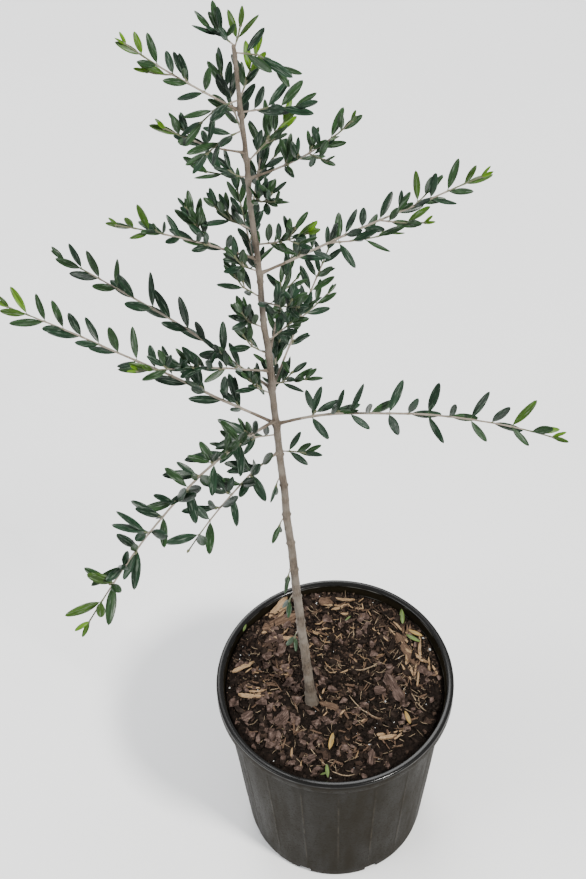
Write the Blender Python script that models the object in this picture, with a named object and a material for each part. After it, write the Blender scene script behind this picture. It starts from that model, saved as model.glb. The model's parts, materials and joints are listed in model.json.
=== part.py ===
"""A young olive tree in a nursery pot, as separate solids: pot, soil, trunk, boughs and foliage.

Sizes are in metres, +Z is up, the origin is the middle of the pot's flat underside, and the
photograph was taken from the -Y side. Every limb follows one rule from a few sizes of its own.
"""
import math
import random
from typing import NamedTuple

import bmesh
import bpy
from mathutils import Quaternion, Vector
from mathutils.bvhtree import BVHTree

# Straight up, and where the light comes from that the leaves face: from above and in front.
UP = Vector((0.0, 0.0, 1.0))
LIGHT = Vector((0.0, -0.45, 0.89))

# Gap left between two solids that meet.
CLEAR = 0.0003

# Nursery pot: a thin tapering wall, a flat floor, a raised band and a rolled lip.
POT_HEIGHT = 0.305
LIP_RADIUS = 0.140
LIP_HEIGHT = 0.0155
BAND_DEPTH = 0.012
BAND_STEP = 0.0015
FOOT_RADIUS = 0.108
WALL_TOP_RADIUS = 0.1335
FOOT_ROUND = 0.006
WALL = 0.0018
POT_SIDES = 56
DRAIN_SLOTS = 8
DRAIN_WIDTH = 0.016
DRAIN_HEIGHT = 0.012

# Soil: fills the pot to a finger's breadth below its lip, level under the trunk.
SOIL_DROP = 0.016
SOIL_TOP = POT_HEIGHT - SOIL_DROP
SOIL_EDGE_DROP = 0.004

# Trunk: stands a little left of and in front of the pot's middle, and leans to the left.
TRUNK_FOOT = Vector((-0.028, -0.020, SOIL_TOP + CLEAR))
TRUNK_LENGTH = 1.075
TRUNK_LEAN = 0.059
TRUNK_STRAIGHTENS = 0.009
TRUNK_FOOT_RADIUS = 0.0054
TRUNK_TIP_RADIUS = 0.0017
ROOT_FLARE = 0.0032
FLARE_HEIGHT = 0.018
TRUNK_SIDES = 10
TRUNK_STEP = 0.05

# Boughs and the stems of the foliage, which taper at one rate from root to tip.
STEM_TIP_RADIUS = 0.00065
STEM_TAPER = 0.0032
BOUGH_SIDES = 6
TWIG_SIDES = 3
COURSE_STEP = 0.02

# Leaves: opposite pairs, each pair a quarter turn on from the last. On the boughs they are
# shorter the higher up the trunk the bough starts, and on the trunk's own shoots short and close.
LEAF_LENGTH = 0.0465
LEAF_SHORTENS = 0.0210
SHOOT_LEAF_LENGTH = 0.0265
LEAF_BREADTH = 0.27
LEAF_THICKNESS = 0.0008
LEAF_SPREAD = 58.0
LEAF_TILT = 38.0
LEAF_LIFT = 0.48
PAIR_SPACING = 0.55
SHOOT_PAIR_SPACING = 0.46
LEAF_SUNK = 0.0006
LEAF_MARGIN = 0.0006
WIDEST_AT = 0.48

# The last pair's share of the full length, and how far the last pairs stand out, in degrees.
BOUGH_TIP_LEAF = 0.5
SHOOT_TIP_LEAF = 0.8
YOUNG_SPREADS = (17.0, 34.0, 46.0)

# The first pair's usual distance from a stem's foot, its share of a short stem and the least
# that it may be, and the last pair's distance from the tip.
FIRST_PAIR = 0.011
FIRST_PAIR_SHARE = 0.2
NEAREST_PAIR = 0.006
TIP_PAIR = 0.002

# Side shoots, and the space round its stem that a mass keeps to.
SHOOT_SHARE = 0.45
SHOOT_LONGEST = 0.070
SHOOT_SPREAD = 38.0
SHOOT_LIFT = 18.0
SPACE_RADIUS = 0.085


class Limb(NamedTuple):
    """A bough with the foliage at its tip, or foliage that springs straight from the trunk."""

    name: str
    height: float
    heading: float
    rise: float
    tip_rise: float
    turn: float
    length: float
    bare: float
    side_shoots: int
    seed: int
    cut: float = 0.0
    leaf_scale: float = 1.0


# Height of the root on the trunk, heading from +X towards +Y, rise above level at root and
# tip, change of heading on the way, whole length, length that is bare bough, side shoots,
# seed, how much of a cut limb's tip is bare, and the size of its leaves among their kind.
LIMBS = (
    Limb("front_left_long", 0.568, 232, 28, -6, 10, 0.318, 0.026, 0, 11, leaf_scale=1.14),
    Limb("front_left_short", 0.516, 238, 30, 5, 4, 0.178, 0.022, 0, 12, 0.020, 1.10),
    Limb("right_long", 0.562, 350, 28, -5, -8, 0.275, 0.024, 0, 13),
    Limb("left_long", 0.563, 172, 34, 13, -12, 0.282, 0.024, 0, 14),
    Limb("left_middle", 0.618, 152, 28, 4, -4, 0.235, 0.022, 0, 15, leaf_scale=1.06),
    Limb("left_level", 0.648, 200, 32, 20, 0, 0.138, 0.020, 1, 16, leaf_scale=0.86),
    Limb("back_right", 0.618, 58, 45, 25, 6, 0.155, 0.030, 1, 17, leaf_scale=0.80),
    Limb("back_upright", 0.672, 72, 42, 25, 0, 0.100, 0.020, 1, 18, leaf_scale=0.76),
    Limb("left_high", 0.812, 192, 40, 26, 0, 0.142, 0.020, 2, 19, leaf_scale=0.95),
    Limb("right_high", 0.790, 17, 16, 12, 0, 0.215, 0.022, 3, 20),
    Limb("right_top", 0.918, 346, 32, 60, 0, 0.126, 0.025, 1, 21),
    Limb("left_upper", 0.950, 188, 20, 45, 0, 0.076, 0.020, 1, 22, leaf_scale=1.10),
    Limb("left_top", 1.000, 168, 27, 40, 0, 0.110, 0.020, 1, 23, leaf_scale=1.10),
)

# Short leafy shoots on the trunk itself, with no bare bough.
SHOOTS = (
    Limb("shoot_01", 0.170, 215, -50, -85, 0, 0.011, 0, 0, 31, leaf_scale=1.20),
    Limb("shoot_02", 0.245, 200, -50, -85, 0, 0.011, 0, 0, 32, leaf_scale=1.25),
    Limb("shoot_03", 0.300, 225, -50, -85, 0, 0.011, 0, 0, 33, leaf_scale=1.15),
    Limb("shoot_04", 0.395, 205, -50, -85, 0, 0.011, 0, 0, 34, leaf_scale=1.15),
    Limb("shoot_05", 0.470, 215, -50, -85, 0, 0.011, 0, 0, 35, leaf_scale=1.15),
    Limb("shoot_06", 0.515, 345, 20, 0, 0, 0.024, 0, 0, 36),
    Limb("shoot_30", 0.545, 208, 30, 5, 0, 0.055, 0, 1, 61),
    Limb("shoot_07", 0.590, 85, 35, 20, 0, 0.080, 0, 1, 37),
    Limb("shoot_08", 0.625, 350, 25, 20, 0, 0.032, 0, 0, 38),
    Limb("shoot_09", 0.612, 196, 35, 80, 0, 0.036, 0, 1, 39, leaf_scale=1.05),
    Limb("shoot_10", 0.676, 190, 35, 80, 0, 0.036, 0, 1, 40, leaf_scale=1.10),
    Limb("shoot_11", 0.694, 15, 35, 50, 0, 0.050, 0, 1, 41),
    Limb("shoot_12", 0.716, 205, 35, 80, 0, 0.036, 0, 1, 42, leaf_scale=1.10),
    Limb("shoot_13", 0.752, 308, 35, 45, 0, 0.065, 0, 1, 43),
    Limb("shoot_14", 0.775, 105, 40, 35, 0, 0.085, 0, 1, 44),
    Limb("shoot_15", 0.758, 180, 30, 80, 0, 0.036, 0, 1, 45, leaf_scale=1.10),
    Limb("shoot_16", 0.832, 335, 30, 45, 0, 0.062, 0, 2, 46, leaf_scale=1.05),
    Limb("shoot_17", 0.796, 205, 35, 80, 0, 0.036, 0, 1, 47, leaf_scale=1.10),
    Limb("shoot_18", 0.852, 178, 25, 65, 0, 0.042, 0, 1, 48, leaf_scale=1.05),
    Limb("shoot_19", 0.872, 75, 40, 40, 0, 0.080, 0, 1, 49),
    Limb("shoot_20", 0.892, 300, 38, 45, 0, 0.055, 0, 1, 50),
    Limb("shoot_21", 0.920, 182, 15, 20, 0, 0.034, 0, 0, 51, leaf_scale=1.15),
    Limb("shoot_22", 0.938, 30, 30, 45, 0, 0.044, 0, 1, 52, leaf_scale=1.05),
    Limb("shoot_23", 0.965, 110, 35, 40, 0, 0.055, 0, 0, 53, leaf_scale=1.10),
    Limb("shoot_24", 0.998, 352, 25, 5, 0, 0.045, 0, 0, 54, leaf_scale=1.20),
    Limb("shoot_25", 0.976, 205, 5, -45, 0, 0.034, 0, 0, 55, leaf_scale=1.15),
    Limb("shoot_26", 1.014, 55, 45, 55, 0, 0.036, 0, 0, 56, leaf_scale=1.15),
    Limb("shoot_27", 1.012, 200, 10, -55, 0, 0.036, 0, 0, 57, leaf_scale=1.20),
    Limb("shoot_28", 1.066, 350, 22, -60, 0, 0.036, 0, 0, 58, leaf_scale=1.15),
    Limb("shoot_29", 1.071, 60, 50, 65, 0, 0.018, 0, 0, 59),
    Limb("leader", TRUNK_LENGTH, 176, 52, 40, 0, 0.026, 0, 0, 60, leaf_scale=1.15),
)


class Leaf(NamedTuple):
    """One leaf: where it starts, the way it points, its broad side and its sizes."""

    root: Vector
    along: Vector
    across: Vector
    length: float
    width: float


class Solid(NamedTuple):
    """Corners and faces of one closed surface."""

    corners: list
    faces: list


def clear_scene():
    for thing in list(bpy.data.objects):
        bpy.data.objects.remove(thing, do_unlink=True)


def material(name, colour, roughness, metallic=0.0):
    made = bpy.data.materials.new(name)
    made.use_nodes = True
    shader = made.node_tree.nodes["Principled BSDF"]
    shader.inputs["Base Color"].default_value = (*colour, 1.0)
    shader.inputs["Roughness"].default_value = roughness
    shader.inputs["Metallic"].default_value = metallic
    made.diffuse_color = (*colour, 1.0)
    return made


def add_object(name, solid, finish):
    """Put a solid into the scene as an object whose faces point outward."""
    mesh = bpy.data.meshes.new(name)
    mesh.from_pydata([tuple(corner) for corner in solid.corners], [], solid.faces)
    mesh.materials.append(finish)
    made = bpy.data.objects.new(name, mesh)
    bpy.context.scene.collection.objects.link(made)
    shape = bmesh.new()
    shape.from_mesh(mesh)
    bmesh.ops.recalc_face_normals(shape, faces=shape.faces)
    shape.to_mesh(mesh)
    shape.free()
    return made


# Courses of the limbs

def pointing(heading, rise):
    """Unit vector at a heading from +X towards +Y and a rise above level, in degrees."""
    level = math.cos(math.radians(rise))
    turn = math.radians(heading)
    return Vector((level * math.cos(turn), level * math.sin(turn), math.sin(math.radians(rise))))


def trunk_point(height):
    sideways = TRUNK_STRAIGHTENS * height * height - TRUNK_LEAN * height
    return TRUNK_FOOT + Vector((sideways, 0.0, height))


def trunk_direction(height):
    return (trunk_point(height + 0.001) - trunk_point(height - 0.001)).normalized()


def trunk_radius(height):
    taper = TRUNK_FOOT_RADIUS + (TRUNK_TIP_RADIUS - TRUNK_FOOT_RADIUS) * height / TRUNK_LENGTH
    return taper + ROOT_FLARE * math.exp(-height / FLARE_HEIGHT)


def course(start, limb):
    """Points from the limb's root to its tip, as its rise and heading change evenly."""
    steps = max(2, round(limb.length / COURSE_STEP))
    points = [start]
    for step in range(steps):
        part = (step + 0.5) / steps
        rise = limb.rise + (limb.tip_rise - limb.rise) * part
        heading = limb.heading + limb.turn * part
        points.append(points[-1] + pointing(heading, rise) * (limb.length / steps))
    return points


def length_of(points):
    return sum((end - start).length for start, end in zip(points, points[1:]))


def place_on(points, distance):
    """The point, and the direction there, at a distance along a course."""
    for start, end in zip(points, points[1:]):
        reach = (end - start).length
        if distance <= reach + 1e-9:
            return start + (end - start) * (distance / reach), (end - start).normalized()
        distance -= reach
    return points[-1], (points[-1] - points[-2]).normalized()


def stretch(points, first, last):
    """The part of a course between two distances along it."""
    passed = 0.0
    kept = [place_on(points, first)[0]]
    for start, end in zip(points, points[1:]):
        passed += (end - start).length
        if first + COURSE_STEP / 4 < passed < last - COURSE_STEP / 4:
            kept.append(end)
    kept.append(place_on(points, last)[0])
    return kept


def stem_radius(to_tip):
    """Radius of a bough or stem at a distance before its tip."""
    return STEM_TIP_RADIUS + STEM_TAPER * to_tip


def limb_start(limb):
    """Middle of the limb's root, and the way the trunk's bark faces there."""
    axis = trunk_direction(limb.height)
    if limb.height >= TRUNK_LENGTH:
        return trunk_point(TRUNK_LENGTH) + axis * CLEAR, axis
    level = pointing(limb.heading, 0.0)
    outward = (level - axis * level.dot(axis)).normalized()
    return trunk_point(limb.height) + outward * (trunk_radius(limb.height) + CLEAR), outward


# Solids

def tube(points, radii, sides, root_facing=None):
    """A closed tube along points; its root is cut square, or along a plane facing a given way."""
    corners = []
    across = None
    last = len(points) - 1
    for place, (point, radius) in enumerate(zip(points, radii)):
        ahead = (points[min(place + 1, last)] - points[max(place - 1, 0)]).normalized()
        if across is None:
            across = ahead.orthogonal()
        across = (across - ahead * across.dot(ahead)).normalized()
        upright = ahead.cross(across)
        for side in range(sides):
            turn = 2.0 * math.pi * side / sides
            corner = point + (across * math.cos(turn) + upright * math.sin(turn)) * radius
            if place == 0 and root_facing is not None:
                slide = (point - corner).dot(root_facing) / ahead.dot(root_facing)
                corner = corner + ahead * slide
            corners.append(corner)
    faces = [tuple(reversed(range(sides))), tuple(range(last * sides, (last + 1) * sides))]
    for place in range(last):
        for side in range(sides):
            below = place * sides + side
            beside = place * sides + (side + 1) % sides
            faces.append((below, beside, beside + sides, below + sides))
    return Solid(corners, faces)


def leaf_solid(leaf, margin=0.0):
    """An eight-faced leaf, or the same with a margin all round for trying its clearance."""
    upright = leaf.along.cross(leaf.across)
    middle = leaf.root + leaf.along * (leaf.length * WIDEST_AT)
    half_width = leaf.width / 2.0 + margin
    half_thick = LEAF_THICKNESS / 2.0 + margin
    corners = [
        leaf.root,
        leaf.root + leaf.along * (leaf.length + margin),
        middle + leaf.across * half_width,
        middle + upright * half_thick,
        middle - leaf.across * half_width,
        middle - upright * half_thick,
    ]
    faces = []
    for side in range(4):
        near, far = 2 + side, 2 + (side + 1) % 4
        faces.append((0, far, near))
        faces.append((1, near, far))
    return Solid(corners, faces)


def trunk_solid():
    low_rings = (0.0, 0.006, 0.014, 0.026, 0.045)
    heights = list(low_rings)
    rings = math.ceil((TRUNK_LENGTH - low_rings[-1]) / TRUNK_STEP)
    for ring in range(1, rings + 1):
        heights.append(low_rings[-1] + (TRUNK_LENGTH - low_rings[-1]) * ring / rings)
    points = [trunk_point(height) for height in heights]
    radii = [trunk_radius(height) for height in heights]
    return tube(points, radii, TRUNK_SIDES, root_facing=UP)


def bough_solid(limb):
    start, facing = limb_start(limb)
    whole = course(start, limb)
    points = stretch(whole, 0.0, limb.bare)
    parts = len(points) - 1
    radii = [stem_radius(limb.length - limb.bare * place / parts) for place in range(parts + 1)]
    return tube(points, radii, BOUGH_SIDES, root_facing=facing)


# Foliage

def stem_course(limb):
    """The stretch of the limb's course that carries foliage, and the way its root is cut."""
    start, facing = limb_start(limb)
    whole = course(start, limb)
    if limb.bare:
        return stretch(whole, limb.bare + CLEAR, limb.length), None
    return whole, facing


def stem_solid(points, facing=None):
    """A three-sided stem or twig that tapers to its tip."""
    radii = [stem_radius(length_of(points[place:])) for place in range(len(points))]
    return tube(points, radii, TWIG_SIDES, root_facing=facing)


def turned(vector, axis, degrees):
    return Quaternion(axis, math.radians(degrees)) @ vector


def leaf_length(limb):
    """Usual length of a full leaf in the limb's mass."""
    if limb.bare:
        return (LEAF_LENGTH - LEAF_SHORTENS * limb.height) * limb.leaf_scale
    return SHOOT_LEAF_LENGTH * limb.leaf_scale


def leaf_at(point, ahead, outward, spread, length, rng):
    """A leaf that leans out from its stem, lifts and turns its upper side to the light."""
    along = turned(ahead, ahead.cross(outward).normalized(), spread)
    along = (along + UP * LEAF_LIFT * min(1.0, max(0.0, 1.0 + 2.0 * ahead.z))).normalized()
    across = turned(along.cross(LIGHT).normalized(), along, rng.uniform(-LEAF_TILT, LEAF_TILT))
    return Leaf(point - along * LEAF_SUNK, along, across, length, LEAF_BREADTH * length)


def side_course(point, ahead, outward, to_tip):
    """Points of a side shoot that leaves its stem at an angle and bends towards the light."""
    length = min(SHOOT_LONGEST, SHOOT_SHARE * to_tip)
    way = turned(ahead, ahead.cross(outward).normalized(), SHOOT_SPREAD)
    steps = max(2, round(length / COURSE_STEP))
    points = [point]
    for _ in range(steps):
        points.append(points[-1] + way * (length / steps))
        way = (way + UP * math.radians(SHOOT_LIFT) / steps).normalized()
    return points


def pair_spacing(limb):
    """Usual distance between the leaf pairs of the limb's mass."""
    return leaf_length(limb) * (PAIR_SPACING if limb.bare else SHOOT_PAIR_SPACING)


def joints_on(length, spacing):
    """Distances of the leaf pairs along a stem; they stand closer on a short one."""
    spacing *= min(1.0, 0.65 + length / 0.25)
    first = min(FIRST_PAIR, max(NEAREST_PAIR, FIRST_PAIR_SHARE * length))
    gaps = round((length - TIP_PAIR - first) / spacing)
    if gaps < 1:
        return [length - TIP_PAIR]
    step = (length - TIP_PAIR - first) / gaps
    return [first + step * joint for joint in range(gaps + 1)]


def grow(points, shoots, full, spacing, tip, cut, rng, fits):
    """Side shoots and leaves of a stem: an opposite pair at each joint, a quarter turn on."""
    length = length_of(points)
    joints = joints_on(length - cut, spacing)
    pairs = len(joints)
    shoot_joints = [round(pairs * (shoot + 0.6) / (shoots + 1.2)) for shoot in range(shoots)]
    first_turn = rng.uniform(0.0, 90.0)
    twigs, leaves = [], []
    for joint, distance in enumerate(joints):
        point, ahead = place_on(points, distance)
        to_go = pairs - 1 - joint
        young = to_go < len(YOUNG_SPREADS) and not cut
        size = tip + (1.0 - tip) * min(1.0, 0.8 * to_go) if young else 1.0
        spread = YOUNG_SPREADS[to_go] if young else LEAF_SPREAD * rng.uniform(0.65, 1.30)
        level = ahead.cross(UP).normalized()
        turn = first_turn + 90.0 * joint + rng.uniform(-20.0, 20.0)
        for side in (0, 1):
            outward = turned(level, ahead, turn + 180.0 * side)
            if side and joint in shoot_joints:
                shoot = side_course(point, ahead, outward, length - distance)
                if fits(stem_solid(shoot), shoot[-1]):
                    more_twigs, more_leaves = grow(shoot, 0, full, spacing, tip, 0.0, rng, fits)
                    twigs += [shoot] + more_twigs
                    leaves += more_leaves
                    continue
            leaf_size = full * size * rng.uniform(0.88, 1.08)
            leaf = leaf_at(point, ahead, outward, spread, leaf_size, rng)
            if fits(leaf_solid(leaf, LEAF_MARGIN), leaf.root + leaf.along * leaf.length):
                leaves.append(leaf)
    return twigs, leaves


def tree_of(solids):
    """A search tree over the faces of several solids."""
    corners, faces = [], []
    for solid in solids:
        first = len(corners)
        corners += solid.corners
        faces += [tuple(first + corner for corner in face) for face in solid.faces]
    return BVHTree.FromPolygons(corners, faces)


def grow_foliage(limbs, fixed):
    """Grow every mass in turn; a twig or leaf that leaves its space or meets a solid is skipped."""
    stems = {limb.name: stem_course(limb) for limb in limbs}
    stem_solids = {name: stem_solid(*stem) for name, stem in stems.items()}
    grown = {}
    placed = list(fixed)
    for limb in limbs:
        points, _ = stems[limb.name]
        others = [solid for name, solid in stem_solids.items() if name != limb.name]
        obstacles = tree_of(placed + others)

        def fits(solid, tip):
            reach = min((tip - point).length for point in points)
            if reach > SPACE_RADIUS:
                return False
            return not obstacles.overlap(tree_of([solid]))

        rng = random.Random(limb.seed)
        full = leaf_length(limb)
        spacing = pair_spacing(limb)
        tip = BOUGH_TIP_LEAF if limb.bare else SHOOT_TIP_LEAF
        twigs, leaves = grow(points, limb.side_shoots, full, spacing, tip, limb.cut, rng, fits)
        pieces = [stem_solid(twig) for twig in twigs] + [leaf_solid(leaf) for leaf in leaves]
        placed += pieces
        grown[limb.name] = (stem_solids[limb.name], pieces)
    return grown


def signed_volume(faces):
    total = 0.0
    for face in faces:
        first = face.verts[0].co
        for near, far in zip(face.verts[1:], face.verts[2:]):
            total += first.dot(near.co.cross(far.co)) / 6.0
    return total


def keep_main_shell(mesh):
    """Drop loose scraps and fill sealed hollows: only the shell with most inside it stays."""
    shape = bmesh.new()
    shape.from_mesh(mesh)
    shells, seen = [], set()
    for face in shape.faces:
        if face in seen:
            continue
        shell, queue = [], [face]
        seen.add(face)
        while queue:
            current = queue.pop()
            shell.append(current)
            for edge in current.edges:
                for beside in edge.link_faces:
                    if beside not in seen:
                        seen.add(beside)
                        queue.append(beside)
        shells.append(shell)
    shells.sort(key=signed_volume)
    scraps = [face for shell in shells[:-1] for face in shell]
    bmesh.ops.delete(shape, geom=scraps, context="FACES")
    shape.to_mesh(mesh)
    shape.free()


def combine(base, pieces, operation):
    """Apply one Boolean between an object and a collection of pieces, then drop the pieces."""
    group = bpy.data.collections.new("pieces")
    bpy.context.scene.collection.children.link(group)
    helpers = [add_object(f"piece_{place}", piece, None) for place, piece in enumerate(pieces)]
    for helper in helpers:
        bpy.context.scene.collection.objects.unlink(helper)
        group.objects.link(helper)
    boolean = base.modifiers.new("Combine", "BOOLEAN")
    boolean.operation = operation
    boolean.operand_type = "COLLECTION"
    boolean.collection = group
    boolean.solver = "MANIFOLD"
    seen = base.evaluated_get(bpy.context.evaluated_depsgraph_get())
    combined = bpy.data.meshes.new_from_object(seen)
    base.modifiers.clear()
    base.data = combined
    for helper in helpers:
        bpy.data.objects.remove(helper, do_unlink=True)
    bpy.data.collections.remove(group)
    keep_main_shell(base.data)


# Pot and soil

def lathe(profile, sides):
    """A solid turned about +Z from a profile whose first and last points close it flat."""
    corners = []
    for radius, height in profile:
        for side in range(sides):
            turn = 2.0 * math.pi * side / sides
            corners.append(Vector((radius * math.cos(turn), radius * math.sin(turn), height)))
    last = len(profile) - 1
    faces = [tuple(reversed(range(sides))), tuple(range(last * sides, (last + 1) * sides))]
    for ring in range(last):
        for side in range(sides):
            below = ring * sides + side
            beside = ring * sides + (side + 1) % sides
            faces.append((below, beside, beside + sides, below + sides))
    return Solid(corners, faces)


def wall_radius(height):
    """Outside radius of the pot's plain wall."""
    return FOOT_RADIUS + (WALL_TOP_RADIUS - FOOT_RADIUS) * height / POT_HEIGHT


def pot_profile():
    """Half section of the pot: radius and height from the edge of its underside to its floor."""
    half_round = FOOT_ROUND * 0.3
    band_low = POT_HEIGHT - LIP_HEIGHT - BAND_DEPTH
    lip_low = POT_HEIGHT - LIP_HEIGHT
    inside_top = wall_radius(POT_HEIGHT) - WALL
    return [
        (FOOT_RADIUS - FOOT_ROUND, 0.0),
        (FOOT_RADIUS - half_round, half_round),
        (wall_radius(FOOT_ROUND), FOOT_ROUND),
        (wall_radius(band_low), band_low),
        (wall_radius(band_low) + BAND_STEP, band_low + BAND_STEP),
        (wall_radius(lip_low) + BAND_STEP, lip_low),
        (LIP_RADIUS - 0.0010, lip_low),
        (LIP_RADIUS, lip_low + 0.0020),
        (LIP_RADIUS, POT_HEIGHT - 0.0030),
        (LIP_RADIUS - 0.0015, POT_HEIGHT - 0.0006),
        (LIP_RADIUS - 0.0035, POT_HEIGHT),
        (inside_top + 0.0010, POT_HEIGHT - 0.0008),
        (inside_top, POT_HEIGHT - 0.0030),
        (wall_radius(WALL) - WALL, WALL),
    ]


def drain_slot(place):
    """A block that cuts one drain slot through the pot's bottom corner."""
    turn = 2.0 * math.pi * (place + 0.5) / DRAIN_SLOTS
    outward = Vector((math.cos(turn), math.sin(turn), 0.0))
    sideways = Vector((-outward.y, outward.x, 0.0)) * (DRAIN_WIDTH / 2.0)
    corners = []
    for height in (-DRAIN_HEIGHT, DRAIN_HEIGHT):
        for radius, side in ((-1, -1), (1, -1), (1, 1), (-1, 1)):
            middle = outward * (FOOT_RADIUS + radius * DRAIN_HEIGHT)
            corners.append(middle + sideways * side + Vector((0.0, 0.0, height)))
    faces = [(3, 2, 1, 0), (4, 5, 6, 7), (0, 1, 5, 4), (1, 2, 6, 5), (2, 3, 7, 6), (3, 0, 4, 7)]
    return Solid(corners, faces)


def soil_profile():
    """Half section of the soil, which lies just clear of the pot's wall and floor."""
    low = WALL + CLEAR
    inside = -WALL - 2.0 * CLEAR
    edge = SOIL_TOP - SOIL_EDGE_DROP
    return [
        (wall_radius(low) + inside, low),
        (wall_radius(edge) + inside, edge),
        (wall_radius(edge) + inside - 2.0 * SOIL_EDGE_DROP, SOIL_TOP),
    ]


def main():
    clear_scene()
    plastic = material("pot_plastic", (0.018, 0.018, 0.019), 0.38)
    bark_mix = material("bark_mix", (0.055, 0.035, 0.026), 0.95)
    bark = material("olive_bark", (0.23, 0.17, 0.12), 0.80)
    leafage = material("olive_leaf", (0.035, 0.085, 0.032), 0.45)

    pot = add_object("pot", lathe(pot_profile(), POT_SIDES), plastic)
    combine(pot, [drain_slot(place) for place in range(DRAIN_SLOTS)], "DIFFERENCE")
    soil = lathe(soil_profile(), POT_SIDES)
    add_object("soil", soil, bark_mix)

    trunk = trunk_solid()
    add_object("trunk", trunk, bark)
    boughs = {limb.name: bough_solid(limb) for limb in LIMBS}
    for name, bough in boughs.items():
        add_object(f"bough_{name}", bough, bark)

    fixed = [lathe(pot_profile(), POT_SIDES), soil, trunk, *boughs.values()]
    for name, (stem, pieces) in grow_foliage(LIMBS + SHOOTS, fixed).items():
        mass = add_object(f"foliage_{name}", stem, leafage)
        combine(mass, pieces, "UNION")


if __name__ == "__main__":
    main()
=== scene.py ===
"""Looks of the potted olive tree: bark with relief, twigs, leaves, pot, bark mix, light, camera.

Sizes are in metres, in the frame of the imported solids. The foliage repeats the rule of the
part's source with the same seeds, so every leaf grows where the solid one is, and the rule is
then carried on to petioles, buds and finer twigs.
"""

import json
import math
import random
from typing import NamedTuple

import bmesh
import bpy
import numpy as np
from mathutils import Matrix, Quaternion, Vector, noise
from mathutils.bvhtree import BVHTree

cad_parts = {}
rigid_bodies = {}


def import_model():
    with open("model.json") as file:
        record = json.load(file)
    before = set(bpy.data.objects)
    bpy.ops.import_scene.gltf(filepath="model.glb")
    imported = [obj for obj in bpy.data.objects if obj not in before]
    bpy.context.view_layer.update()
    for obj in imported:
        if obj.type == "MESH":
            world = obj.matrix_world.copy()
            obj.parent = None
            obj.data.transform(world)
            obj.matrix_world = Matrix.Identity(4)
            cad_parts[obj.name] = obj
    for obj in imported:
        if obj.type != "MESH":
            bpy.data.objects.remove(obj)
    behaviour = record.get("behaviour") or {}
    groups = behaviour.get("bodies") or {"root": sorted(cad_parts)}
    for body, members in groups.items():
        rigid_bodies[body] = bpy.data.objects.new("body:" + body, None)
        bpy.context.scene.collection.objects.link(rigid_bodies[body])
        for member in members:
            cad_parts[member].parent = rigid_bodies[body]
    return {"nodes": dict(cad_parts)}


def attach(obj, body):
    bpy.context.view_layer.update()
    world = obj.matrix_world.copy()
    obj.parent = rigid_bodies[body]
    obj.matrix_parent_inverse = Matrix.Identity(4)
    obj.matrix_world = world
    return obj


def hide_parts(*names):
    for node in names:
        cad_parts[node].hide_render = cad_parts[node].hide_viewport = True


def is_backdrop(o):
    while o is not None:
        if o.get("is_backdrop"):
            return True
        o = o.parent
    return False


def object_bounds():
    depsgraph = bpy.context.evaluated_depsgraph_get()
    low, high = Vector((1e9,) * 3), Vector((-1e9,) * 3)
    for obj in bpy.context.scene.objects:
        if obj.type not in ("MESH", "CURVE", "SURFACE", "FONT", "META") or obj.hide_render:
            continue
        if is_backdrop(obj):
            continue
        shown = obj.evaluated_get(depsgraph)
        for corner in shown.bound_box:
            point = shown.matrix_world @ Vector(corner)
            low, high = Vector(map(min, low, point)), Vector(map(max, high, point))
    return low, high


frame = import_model()
CAD_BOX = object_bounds()

# Without a seed of its own, Blender's vector noise differs from run to run.
NOISE_SEED = 7
noise.seed_set(NOISE_SEED)

UP = Vector((0.0, 0.0, 1.0))
LIGHT = Vector((0.0, -0.45, 0.89))
CLEAR = 0.0003

# Pot
POT_HEIGHT = 0.305
LIP_RADIUS = 0.140
LIP_HEIGHT = 0.0155
BAND_DEPTH = 0.012
BAND_STEP = 0.0015
FOOT_RADIUS = 0.108
WALL_TOP_RADIUS = 0.1335
FOOT_ROUND = 0.006
WALL = 0.0018
DRAIN_SLOTS = 8
DRAIN_WIDTH = 0.016
DRAIN_HEIGHT = 0.012
RIBS = 18
SIDES_PER_RIB = 32
RIB_RISE = 0.0006
RIB_HALF_WIDTH = 0.0012
DENT = 0.0016

# Soil
SOIL_TOP = 0.289
SOIL_EDGE_DROP = 0.002
SOIL_SIDES = 420
SOIL_RINGS = 100
SOIL_HEAP = 0.0042
HOLLOW_AT = (-0.053, 0.011)
HOLLOW_WIDTH = 0.018
HOLLOW_DEPTH = 0.009

# Trunk
TRUNK_FOOT = Vector((-0.028, -0.020, SOIL_TOP + CLEAR))
TRUNK_LENGTH = 1.075
TRUNK_LEAN = 0.059
TRUNK_STRAIGHTENS = 0.009
TRUNK_FOOT_RADIUS = 0.0054
TRUNK_TIP_RADIUS = 0.0017
ROOT_FLARE = 0.0032
FLARE_HEIGHT = 0.018
TRUNK_SINK = 0.004

# Boughs and stems
STEM_TIP_RADIUS = 0.00065
STEM_TAPER = 0.0032
TWIG_SIDES = 3
COURSE_STEP = 0.02
GREEN_END = 0.030

# Leaves
LEAF_LENGTH = 0.0465
LEAF_SHORTENS = 0.0210
SHOOT_LEAF_LENGTH = 0.0265
LEAF_BREADTH = 0.27
LEAF_THICKNESS = 0.0008
LEAF_SPREAD = 58.0
LEAF_TILT = 38.0
LEAF_LIFT = 0.48
PAIR_SPACING = 0.55
SHOOT_PAIR_SPACING = 0.46
LEAF_SUNK = 0.0006
LEAF_MARGIN = 0.0006
WIDEST_AT = 0.48
BOUGH_TIP_LEAF = 0.5
SHOOT_TIP_LEAF = 0.8
YOUNG_SPREADS = (17.0, 34.0, 46.0)
FIRST_PAIR = 0.011
FIRST_PAIR_SHARE = 0.2
NEAREST_PAIR = 0.006
TIP_PAIR = 0.002
SHOOT_SHARE = 0.45
SHOOT_LONGEST = 0.070
SHOOT_SPREAD = 38.0
SHOOT_LIFT = 18.0
SPACE_RADIUS = 0.085

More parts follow.
